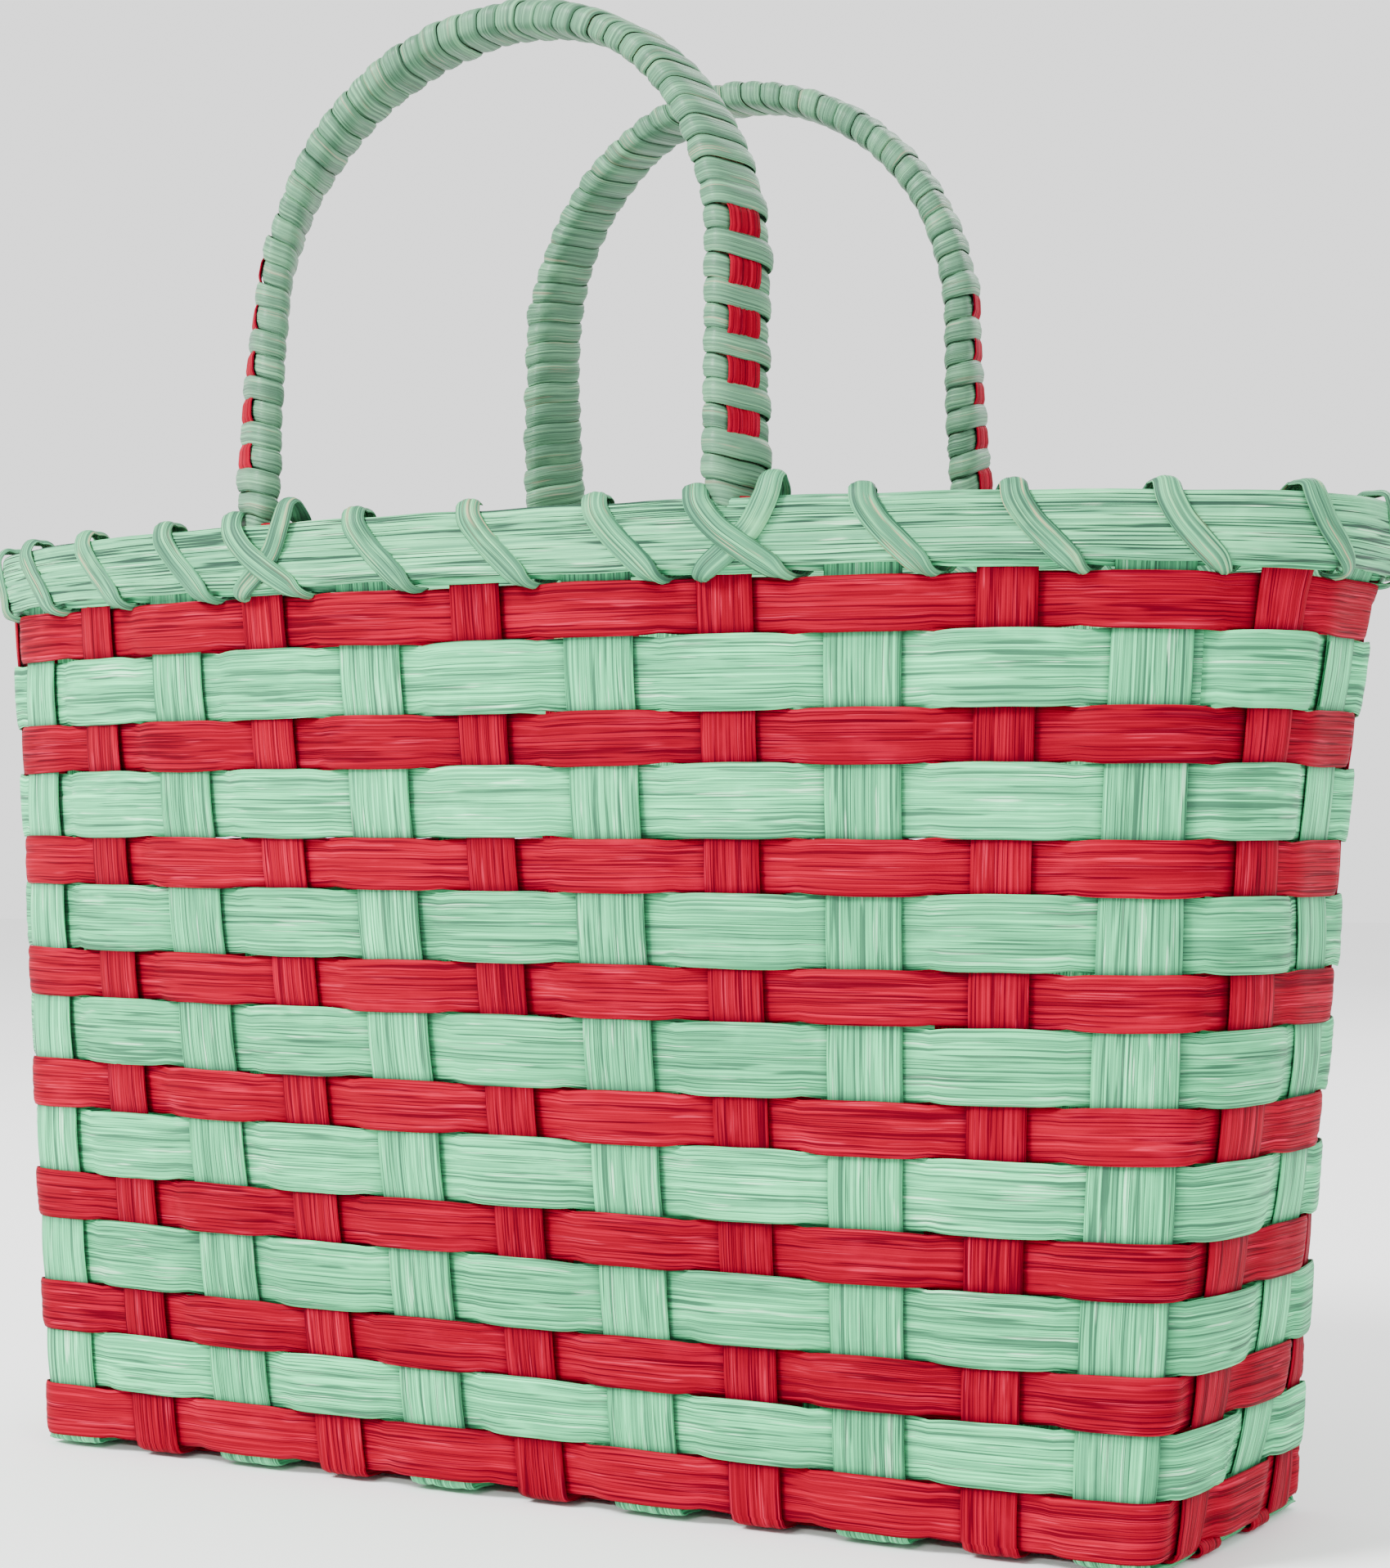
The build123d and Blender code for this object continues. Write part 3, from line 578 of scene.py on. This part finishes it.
def fold_run(stake, half, radius, v, steps=9):
    """Grid of a stake round its fold, from the wall to the base."""
    share = (np.arange(1, steps + 1) / steps)[:, None]
    angle = math.pi / 2 * share
    out = radius * (np.cos(angle) - 1)
    z = FOLD_TOP - radius * np.sin(angle)
    bent = wall(stake + v * half / pitch_at(stake, 0.0), 0.0 * share, out)
    x, y = wall_plan(stake, 0.0)
    nx, ny = wall_normal(stake, 0.0)
    flat = np.stack([x + out * nx - v * half * ny, y + out * ny + v * half * nx,
                     0 * out + 0 * v], -1)
    grid = bent * (1 - share[..., None]) + flat * share[..., None]
    grid[..., 2] = z
    return grid


def cross_base(number, half, ends, v):
    """Grid of a cross stake under the basket, pressed up and down by the strips."""
    y = np.linspace(ends[0], ends[1], 90)[1:-1, None]
    x = wall_plan(number, 0.0)[0]
    height = BASE_MID - CROSS_DIP * (-1) ** number * weave(y / FILLER_OFFSET, False)
    fade = smooth((BASE_HALF_DEPTH - np.abs(y)) / 10)
    z = BASE_MID + (height - BASE_MID) * fade
    return np.stack([x + v * half + 0 * y, y + 0 * v, z + 0 * v], -1)


def stake_material(number):
    return (MINT, "mint_splint") if number % 2 else (RED, "red_splint")


def make_cross_stakes():
    for number in range(-FRONT_HALF, FRONT_HALF + 1):
        mint = number % 2 == 1
        colour = "mint" if mint else "red"
        name = f"cross_stake_{colour}_{(number + FRONT_HALF) // 2 + 1}"
        half = (MINT_WIDTH if mint else RED_WIDTH) / 2
        top = row_box(name)[1]
        seed = 2000 + 10 * number
        v = np.linspace(-1, 1, 11)[None, :]
        radius = FOLD_TOP - BASE_MID
        back = STAKES / 2 - number
        front_wall = wall_run(number, half, not mint, top, v, seed)
        front_fold = fold_run(number, half, radius, v)
        back_wall = wall_run(back, half, not mint, top, -v, seed + 5)
        back_fold = fold_run(back, half, radius, -v)
        ends = (front_fold[-1, 0, 1], back_fold[-1, 0, 1])
        grid = np.concatenate([front_wall, front_fold, cross_base(number, half, ends, v),
                               back_fold[::-1], back_wall[::-1]])
        splints = Splints()
        outward = grid - np.array([grid[..., 0].mean(), 0.0, 120.0])
        # painted shade at the edges of the rows that lie over the stake
        splints.strip(grid, STAKE_THICK, crown=0.18, outward=outward, cracks=22,
                      crossing_shade=stake_crossing_shade(grid, not mint))
        splints.make(name, *stake_material(number), [name])


def long_base(y, half, reach, over_even, v, count=260):
    """Grid of a lengthwise strip under the basket, over and under the cross stakes."""
    x = np.linspace(-reach, reach, count)[1:-1, None]
    place = np.clip(x / BASE_PITCH, -FRONT_HALF, FRONT_HALF)
    z = BASE_MID + BASE_WAVE * weave(place, over_even)
    return np.stack([x + 0 * v, y + v * half + 0 * x, z + 0 * v], -1)


def make_long_stakes():
    for name, number, mint in (("red_front", 6, False), ("mint_middle", 7, True),
                               ("red_back", 8, False)):
        node = f"long_stake_{name}"
        half = (MINT_WIDTH if mint else RED_WIDTH) / 2
        top = row_box(node)[1]
        y = float(wall_plan(number, 0.0)[1])
        v = np.linspace(-1, 1, 11)[None, :]
        end_height = BASE_MID + BASE_WAVE * float(weave(5.0, False))
        radius = FOLD_TOP - end_height
        right_wall = wall_run(number, half, not mint, top, v, 2500 + number)
        right_fold = fold_run(number, half, radius, v)
        left_wall = wall_run(STAKES - number, half, not mint, top, -v, 2600 + number)
        left_fold = fold_run(STAKES - number, half, radius, -v)
        strip = long_base(y, half, BASE_HALF_LENGTH - radius, False, v)
        grid = np.concatenate([left_wall, left_fold, strip, right_fold[::-1],
                               right_wall[::-1]])
        splints = Splints()
        outward = grid - np.array([0.0, y, 120.0])
        # painted shade at the edges of the rows that lie over the stake
        splints.strip(grid, STAKE_THICK, crown=0.18, outward=outward, cracks=26,
                      crossing_shade=stake_crossing_shade(grid, not mint))
        splints.make(node, *stake_material(number), [node])


def make_base_fillers():
    """Red strips whose ends are doubled back in a tight crumpled fold."""
    for name, side in (("front", -1), ("back", 1)):
        node = f"base_filler_{name}"
        half = RED_WIDTH / 2
        v = np.linspace(-1, 1, 15)[None, :]
        reach = BASE_HALF_LENGTH - FILLER_INSET
        strip = long_base(side * FILLER_OFFSET, half, reach, True, v)
        low = float(strip[0, 0, 2])
        angle = np.linspace(0, math.pi, 15)[:, None]
        pieces = []
        for end in (-1, 1):
            seed = 3000 + 10 * side + end
            crumple = 0.35 * waves(v * half, seed, 2.6) * np.sin(angle)
            x = end * (reach + (FILLER_RISE / 2 + crumple) * np.sin(angle))
            z = low + FILLER_RISE / 2 * (1 - np.cos(angle)) + 0.25 * crumple
            y = side * FILLER_OFFSET + v * half * (1 - 0.10 * np.sin(angle)) + 0 * angle
            fold = np.stack([x + 0 * v, y, z + 0 * v], -1)
            back = np.linspace(0, FILLER_FOLD, 24)[1:, None]
            tail = np.stack([end * (reach - back) + 0 * v,
                             side * FILLER_OFFSET + v * half + 0 * back,
                             low + FILLER_RISE + 0 * back + 0 * v], -1)
            pieces.append(np.concatenate([fold, tail]))
        grid = np.concatenate([pieces[0][::-1], strip, pieces[1]])
        splints = Splints()
        splints.strip(grid, STAKE_THICK, crown=0.0, ridge=0.07, cracks=14)
        splints.make(node, RED, "red_splint", [node])


# ---- rim -------------------------------------------------------------------------
def near_handle(u):
    """Distance in stakes to the nearest handle leg."""
    places = np.array(HANDLE_STAKES)[:, None]
    return np.abs(np.mod(np.ravel(u)[None, :] - places + 14, STAKES) - 14).min(0)


def inner_offset(u):
    """The inner rim band swings inwards round each handle's sharpened end."""
    clear = 5.6
    return -(clear + smooth((near_handle(u) - 0.16) / 0.34) * (BAND_OFFSET - clear))


def rim_band(node, offset, lap_start, seed, outer):
    low, high = row_box(node)
    start, end = lap_start, lap_start + STAKES + 1.6
    u = np.linspace(start, end, int((end - start) * 20))
    v = np.linspace(-1, 1, 19)
    lash = 0.18 * np.cos(TAU * (u - 0.34)) * (1 if outer else -1)
    lapped = 1.25 * smooth((u - (lap_start + STAKES - 0.5)) / 0.45) * (1 if outer else -1)
    middle, half = (low + high) / 2, (high - low) / 2
    upper = half + 0.16 * waves(u, seed, 0.9) - 0.15 * np.cos(TAU * (u - 0.2))
    lower = half - 0.9 + 0.35 * waves(u, seed + 1, 0.8)
    z = middle + np.where(v > 0, v * upper[:, None], v * lower[:, None])
    z = z + 0.35 * waves(u, seed + 2, 6.0)[:, None]
    reach = (offset(u) + lash + lapped)[:, None] + 0.12 * waves(u, seed + 3, 1.7)[:, None] * v
    grid = wall(u[:, None], z, reach)
    splints = Splints()
    crown = 0.3 if outer else -0.2
    outward = (grid - grid.mean((0, 1))) * (1 if outer else -1)
    splints.strip(grid, BAND_THICK, crown=abs(crown), ridge=0.07, outward=outward,
                  cracks=90)
    return splints.make(node, RIM, "rim_splint", [node])


def make_rim_filler():
    """Two thin splints laid on edge over the stake ends, between the bands."""
    low, high = row_box("rim_filler")
    splints = Splints()
    for shift, seed in ((-0.75, 4100), (0.75, 4200)):
        u = np.linspace(0.1 * shift, STAKES - 0.05, 620)
        v = np.linspace(-1, 1, 7)
        top = high - 1.7 + 0.5 * waves(u, seed, 0.8) + 0.4 * waves(u, seed + 1, 0.3)
        top = top + 1.3 * smooth(1.6 - near_handle(u) / 0.5)
        z = low + (top - low)[:, None] * (v + 1) / 2
        sway = 0.25 * waves(u, seed + 2, 0.7)[:, None]
        splints.strip(wall(u[:, None], z, shift + sway + 0 * z), 0.9, ridge=0.06, cracks=30)
    return splints.make("rim_filler", RED, "red_splint", ["rim_filler"])


def lash_strands():
    """Top and bottom stake number of each strand; 1 and 2 mark those that cross."""
    strands = []
    for gap in range(STAKES):
        stake = gap if gap < STAKES / 2 + 3 else gap - STAKES
        if stake in HANDLE_STAKES:
            strands.append((gap + 0.40, gap - 0.16, 1))
            strands.append((gap - 0.18, gap + 0.46, 2))
        else:
            wobble = 0.05 * (rng.random() - 0.5)
            strands.append((gap + 0.03 + wobble, gap + 0.49 + wobble, 0))
    return strands


def lash_keys():
    """Key points of the lashing: stake number, offset, height, outward lean in degrees."""
    low, high = row_box("rim_lashing")
    band_low, band_high = row_box("rim_band_outer")
    outside = BAND_OFFSET + BAND_THICK / 2 + 0.55
    keys = []
    strands = lash_strands()
    for number, (top, bottom, kind) in enumerate(strands):
        lift = 1.5 if kind == 2 else 0.0
        rise = (0.0, 3.2, 0.9)[kind]
        run = bottom - top
        keys.append((top - 0.01, -0.4, high - 0.2 + rise, 90, 0.9))
        keys.append((top + 0.02 * run, 2.4, high - 0.4 + rise, 62, 1.0))
        keys.append((top + 0.09 * run, outside + 0.45 + lift / 3,
                     band_high - 2.0 + rise / 2, 14, 1.05))
        keys.append((top + 0.30 * run, outside + 0.15 + lift, band_high - 7.0, 0, 1.0))
        keys.append((top + 0.60 * run, outside + lift, band_high - 12.0, 0, 1.0))
        keys.append((top + 0.86 * run, outside + 0.1, band_low + 1.4, -8, 0.9))
        keys.append((bottom, 2.0, low + 0.75, -70, 0.62))
        keys.append((bottom + 0.03, -2.0, low + 0.75, -110, 0.7))
        if number + 1 == len(strands):
            break
        following = strands[number + 1][0]
        for share, height, lean in ((0.12, band_low + 1.5, -168), (0.5, 246.0, -180),
                                    (0.86, band_high - 2.0, -194), (0.97, high - 0.6, -240)):
            u = bottom + share * (following - bottom)
            offset = float(inner_offset(u)[0]) - BAND_THICK / 2 - 0.6
            if lean < -200:
                offset = -3.2
            keys.append((u, offset, height, lean, 1.0))
    return np.array(keys)


def smooth_through(keys, parts):
    """Catmull-Rom curve through rows of numbers."""
    padded = np.vstack([2 * keys[0] - keys[1], keys, 2 * keys[-1] - keys[-2]])
    t = np.linspace(0, 1, parts, endpoint=False)[:, None]
    rows = []
    for i in range(len(keys) - 1):
        a, b, c, d = padded[i:i + 4]
        rows.append(0.5 * (2 * b + (c - a) * t + (2 * a - 5 * b + 4 * c - d) * t ** 2
                           + (3 * b - a - 3 * c + d) * t ** 3))
    return np.vstack(rows + [keys[-1:]])


def ribbon(splints, centre, normal, half, thick, crown, columns=9, **options):
    """Strip that follows a line in space, its outer side facing along normal."""
    along = np.gradient(centre, axis=0)
    along /= np.linalg.norm(along, axis=-1, keepdims=True)
    side = np.cross(normal, along)
    side /= np.linalg.norm(side, axis=-1, keepdims=True)
    v = np.linspace(-1, 1, columns)
    grid = centre[:, None] + side[:, None] * v[None, :, None] * half[:, None, None]
    splints.strip(grid, thick, crown=crown, outward=normal[:, None] + 0 * grid, **options)


def make_lashing():
    keys = lash_keys()
    for i in range(1, len(keys)):
        while keys[i, 3] - keys[i - 1, 3] > 180:
            keys[i:, 3] -= 360
        while keys[i, 3] - keys[i - 1, 3] < -180:
            keys[i:, 3] += 360
    curve = smooth_through(keys, 7)
    u, offset, z, lean, narrow = curve.T
    centre = wall(u, z, offset)
    nx, ny = wall_normal(u, z)
    lean = np.radians(lean)
    normal = np.stack([np.cos(lean) * nx, np.cos(lean) * ny, np.sin(lean)], -1)
    splints = Splints()
    ribbon(splints, centre, normal, LASH_HALF_WIDTH * narrow, 0.8, 1.0, columns=11,
           ridge=0.05, cracks=60)
    return splints.make("rim_lashing", LASH, "rim_splint", ["rim_lashing"])


# ---- handles ---------------------------------------------------------------------
def lean_at(handle, z):
    """Distance from the middle plane at a height, through four stated places."""
    total = np.zeros_like(z)
    for i, zi in enumerate(LEAN_HEIGHTS):
        weight = np.ones_like(z)
        for j, zj in enumerate(LEAN_HEIGHTS):
            if i != j:
                weight = weight * (z - zj) / (zi - zj)
        total = total + weight * handle["lean"][i]
    return total


def handle_lengths(handle):
    arch = math.pi / 2 * (handle["span"] + handle["crown"] - handle["spring"]) / 2
    return handle["spring"] - HANDLE_FOOT, arch


def handle_line(handle, s):
    """Mid line points at distances s from the crown, negative towards the left foot."""
    leg, arch = handle_lengths(handle)
    rest = leg + arch - np.abs(s)
    side = np.where(s < 0, -1.0, 1.0)
    share = np.clip(rest / leg, -0.3, 1)
    angle = np.clip((rest - leg) / arch, 0, 1) * math.pi / 2
    x_leg = handle["foot"] + share * (handle["span"] - handle["foot"])
    x = np.where(rest < leg, x_leg, handle["span"] * np.cos(angle))
    z = np.where(rest < leg, HANDLE_FOOT + rest,
                 handle["spring"] + (handle["crown"] - handle["spring"]) * np.sin(angle))
    x = side * x
    bent = handle["sway"] * smooth((z - 285) / 45) * smooth(1.25 - x / handle["span"])
    return np.stack([x + bent, lean_at(handle, z), z], -1)


def leg_twist(handle, s):
    """Degrees that the broad face turns outwards: more towards the foot."""
    leg, arch = handle_lengths(handle)
    rest = leg + arch - np.abs(s)
    steady = 1 - smooth((rest - leg * 0.7) / (leg * 0.3 + arch * 0.8))
    foot = smooth((64 - rest) / 64)
    left, right = (42 + 14 * foot, 20 + 0 * foot)
    if handle["side"] > 0:
        left, right = (17 + 20 * foot, 17 - 15 * foot)
    return steady * np.where(s < 0, left, right)


def handle_frames(handle, s):
    """Mid line points and the directions across the broad face and out of it."""
    place = handle_line(handle, s)
    axis = handle_line(handle, s + 0.5) - handle_line(handle, s - 0.5)
    axis /= np.linalg.norm(axis, axis=-1, keepdims=True)
    broad = np.zeros_like(place)
    broad[..., 1] = handle["side"]
    broad = broad - axis * np.sum(axis * broad, -1, keepdims=True)
    broad /= np.linalg.norm(broad, axis=-1, keepdims=True)
    flat = np.cross(broad, axis)
    out = np.stack([place[..., 0], 0 * place[..., 0], place[..., 2] - 300], -1)
    flat *= np.where(np.sum(flat * out, -1, keepdims=True) < 0, -1.0, 1.0)
    turn = np.radians(leg_twist(handle, s))[..., None]
    across = broad * np.cos(turn) - flat * np.sin(turn)
    outward = flat * np.cos(turn) + broad * np.sin(turn)
    return place, across, outward


def section_point(angle, broad, flat):
    """Rounded rectangular section: position and normal as broad and flat parts."""
    c, s = np.cos(angle), np.sin(angle)
    power = 2 / WRAP_SQUARE
    x = broad * np.sign(c) * np.abs(c) ** power
    y = flat * np.sign(s) * np.abs(s) ** power
    nx = np.sign(x) * np.abs(x / broad) ** (WRAP_SQUARE - 1) / broad
    ny = np.sign(y) * np.abs(y / flat) ** (WRAP_SQUARE - 1) / flat
    size = np.hypot(nx, ny)
    return x, y, nx / size, ny / size


def window_places(handle):
    """Distances from the crown of the accent's visible places on one leg."""
    heights = WINDOW_FIRST + WINDOW_PITCH * np.arange(WINDOWS)
    return sum(handle_lengths(handle)) - (heights - HANDLE_FOOT)


def turn_raise(handle, turn, first, pitch):
    """How far each turn of the wrapping is lifted by an accent strip beneath it."""
    s = -first + turn * pitch
    windows = window_places(handle)
    nearest = np.abs(np.abs(s)[..., None] - windows).min(-1)
    within = (np.abs(s) > windows.min() - 0.8 * pitch * 2) & (np.abs(s) < windows.max() + 9)
    return np.where(within, np.where(nearest < pitch / 2, -0.15, 0.85), 0.0)


def make_wrap(name):
    handle = HANDLES[name]
    first = float(window_places(handle).max())
    pitch = 2 * first / round(2 * first / WRAP_PITCH)
    foot = sum(handle_lengths(handle)) + 5.5
    start, end = -(foot - first) / pitch, (foot + first) / pitch
    turns = np.arange(start, end, 1 / 40)
    v = np.linspace(-1, 1, 9)
    angle = TAU * turns + math.pi / 2
    seed = 5000 if name == "front" else 5500
    number = np.round(turns)
    stepped = turn_raise(handle, number, first, pitch)
    face = np.clip(np.sin(angle), 0, 1) ** 0.5
    lift = stepped * face * smooth((0.5 - np.abs(turns - number)) * 6)
    uneven = np.random.default_rng(seed).normal(0, 1, 90)
    loose = 0.16 * np.interp(turns, np.arange(-6, 84), uneven)
    width = pitch / 2 * (1.03 + 0.035 * np.interp(turns, np.arange(-6, 84), uneven[::-1]))
    s = -first + turns[:, None] * pitch + v * width[:, None] + 0.25 * loose[:, None]
    place, across, outward = handle_frames(handle, s)
    rest = foot - 5.5 - np.abs(s)
    foot_share = smooth((3.0 - rest) / 8)
    broad = WRAP_HALF_BROAD * (1 - 0.34 * foot_share)
    flat = WRAP_HALF_FLAT * (1 - 0.15 * foot_share)
    x, y, nx, ny = section_point(angle[:, None] + 0 * v, broad, flat)
    crown = 0.62 * (1 - v ** 2)
    tilt = 0.22 * v
    bulge = crown + tilt + (lift + loose)[:, None]
    grid = (place + across * (x + nx * bulge)[..., None]
            + outward * (y + ny * bulge)[..., None])
    splints = Splints()
    reference = across * nx[..., None] + outward * ny[..., None]
    splints.strip(grid, 0.55, crown=0.0, ridge=0.05, outward=reference, cracks=110)
    return splints.make(f"handle_{name}_wrap", WRAP, "handle_wrap", [f"handle_{name}_wrap"])


def make_accents(name):
    """Red splint on the outer face of each leg, over one turn and under the next."""
    handle = HANDLES[name]
    windows = window_places(handle)
    for side, word in ((-1, "left"), (1, "right")):
        node = f"handle_{name}_accent_{word}"
        s = side * np.linspace(windows.min() - 8, windows.max() + 7, 150)
        nearest = np.abs(np.abs(s)[:, None] - windows).min(1)
        over = smooth((4.6 - nearest) / 3.2)
        v = np.linspace(-1, 1, 15)
        place, across, outward = handle_frames(handle, s[:, None] + 0 * v)
        half = ACCENT_WIDTH / 2 * (0.93 + 0.03 * waves(s, 77, 20.0))
        height = WRAP_HALF_FLAT + 0.15 + 0.95 * over
        x = half[:, None] * v + ACCENT_SHIFT[name][word]
        grid = place + across * x[..., None] + outward * (height[:, None] + 0 * v)[..., None]
        splints = Splints()
        splints.strip(grid, 0.55, crown=0.12, ridge=0.06, outward=outward, cracks=8)
        splints.make(node, RED, "red_splint", [node])


def make_core(name):
    """Cane core with its sharpened ends inside the wall; the arch is under the wrap."""
    handle = HANDLES[name]
    node = f"handle_{name}_core"
    splints = Splints()
    reach = sum(handle_lengths(handle)) + 1
    s = np.linspace(-reach, reach, 160)
    v = np.linspace(-1, 1, 9)
    place, across, outward = handle_frames(handle, s[:, None] + 0 * v)
    grid = place + across * (7.2 * v[None, :])[..., None]
    splints.strip(grid, 4.8, crown=0.0, outward=outward)
    low = row_box(node)[0]
    for stake in ((-2, 2) if name == "front" else (12, 16)):
        z = np.linspace(HANDLE_FOOT + 2, low, 60)[:, None]
        share = (HANDLE_FOOT + 2 - z) / (HANDLE_FOOT + 2 - low)
        half = 3.5 * (1 - 0.5 * share ** 2)
        u = stake + v * half / pitch_at(stake, z)
        splints.strip(wall(u, z, -3.3 + 0 * u), 2.6, crown=0.3, edge=0.3, cracks=4)
    return splints.make(node, CANE, "handle_core", [node])


# ---- camera, light and floor -----------------------------------------------------
def make_camera():
    yaw, pitch, roll = math.radians(30.03), math.radians(0.94), 0.003
    forward = np.array([-math.sin(yaw) * math.cos(pitch), math.cos(yaw) * math.cos(pitch),
                        math.sin(pitch)])
    right = np.cross(forward, [0, 0, 1])
    right /= np.linalg.norm(right)
    up = np.cross(right, forward)
    tilted_right = right * math.cos(roll) + up * math.sin(roll)
    tilted_up = -right * math.sin(roll) + up * math.cos(roll)
    camera = bpy.data.cameras.new("camera")
    camera.sensor_fit = "AUTO"
    camera.sensor_width = 36.0
    camera.lens = 74.21
    camera.clip_start = 0.01
    piece = bpy.data.objects.new("camera", camera)
    rotation = Matrix(np.stack([tilted_right, tilted_up, -forward], 1).tolist()).to_4x4()
    piece.matrix_world = Matrix.Translation((0.45475, -0.75913, 0.17344)) @ rotation
    bpy.context.scene.collection.objects.link(piece)
    bpy.context.scene.camera = piece


def area_light(name, position, target, size, power):
    light = bpy.data.lights.new(name, "AREA")
    light.shape = "DISK"
    light.size = size
    light.energy = power
    piece = bpy.data.objects.new(name, light)
    direction = np.array(target) - np.array(position)
    direction = direction / np.linalg.norm(direction)
    side = np.cross(direction, [0, 0, 1])
    side /= np.linalg.norm(side)
    up = np.cross(side, direction)
    rotation = Matrix(np.stack([side, up, -direction], 1).tolist()).to_4x4()
    piece.matrix_world = Matrix.Translation(position) @ rotation
    bpy.context.scene.collection.objects.link(piece)


def make_lights():
    world = bpy.data.worlds.new("studio")
    bpy.context.scene.world = world
    world.use_nodes = True
    background = world.node_tree.nodes["Background"]
    background.inputs["Color"].default_value = (1.0, 1.0, 1.0, 1.0)
    background.inputs["Strength"].default_value = 1.7
    target = (0.0, 0.0, 0.15)
    area_light("key", (-0.9, -1.8, 1.6), target, 0.7, 140)
    area_light("fill", (1.9, -1.0, 0.9), target, 1.4, 20)
    area_light("rear", (0.3, 1.8, 1.6), target, 1.4, 26)


def make_floor():
    bpy.ops.mesh.primitive_circle_add(vertices=96, radius=6, fill_type="NGON")
    floor = bpy.context.object
    floor.name = "floor"
    floor.location.z = -0.0002
    g = Graph("floor")
    coords = g.node("ShaderNodeTexCoord").outputs["Object"]
    grain = g.noise(coords, 2)
    g.tree.links.new(g.mix(g.ramp(grain, 0.3, 0.7), (0.90, 0.90, 0.90, 1),
                           (0.92, 0.92, 0.92, 1)), g.shader.inputs["Base Color"])
    g.shader.inputs["Roughness"].default_value = 0.9
    floor.data.materials.append(g.material)


make_camera()
make_weavers()
make_cross_stakes()
make_long_stakes()
make_base_fillers()
rim_band("rim_band_outer", lambda u: BAND_OFFSET + 0 * u, 6.85, 4300, True)
rim_band("rim_band_inner", inner_offset, 17.3, 4400, False)
make_rim_filler()
make_lashing()
for handle_name in HANDLES:
    make_core(handle_name)
    make_wrap(handle_name)
    make_accents(handle_name)
make_lights()
make_floor()
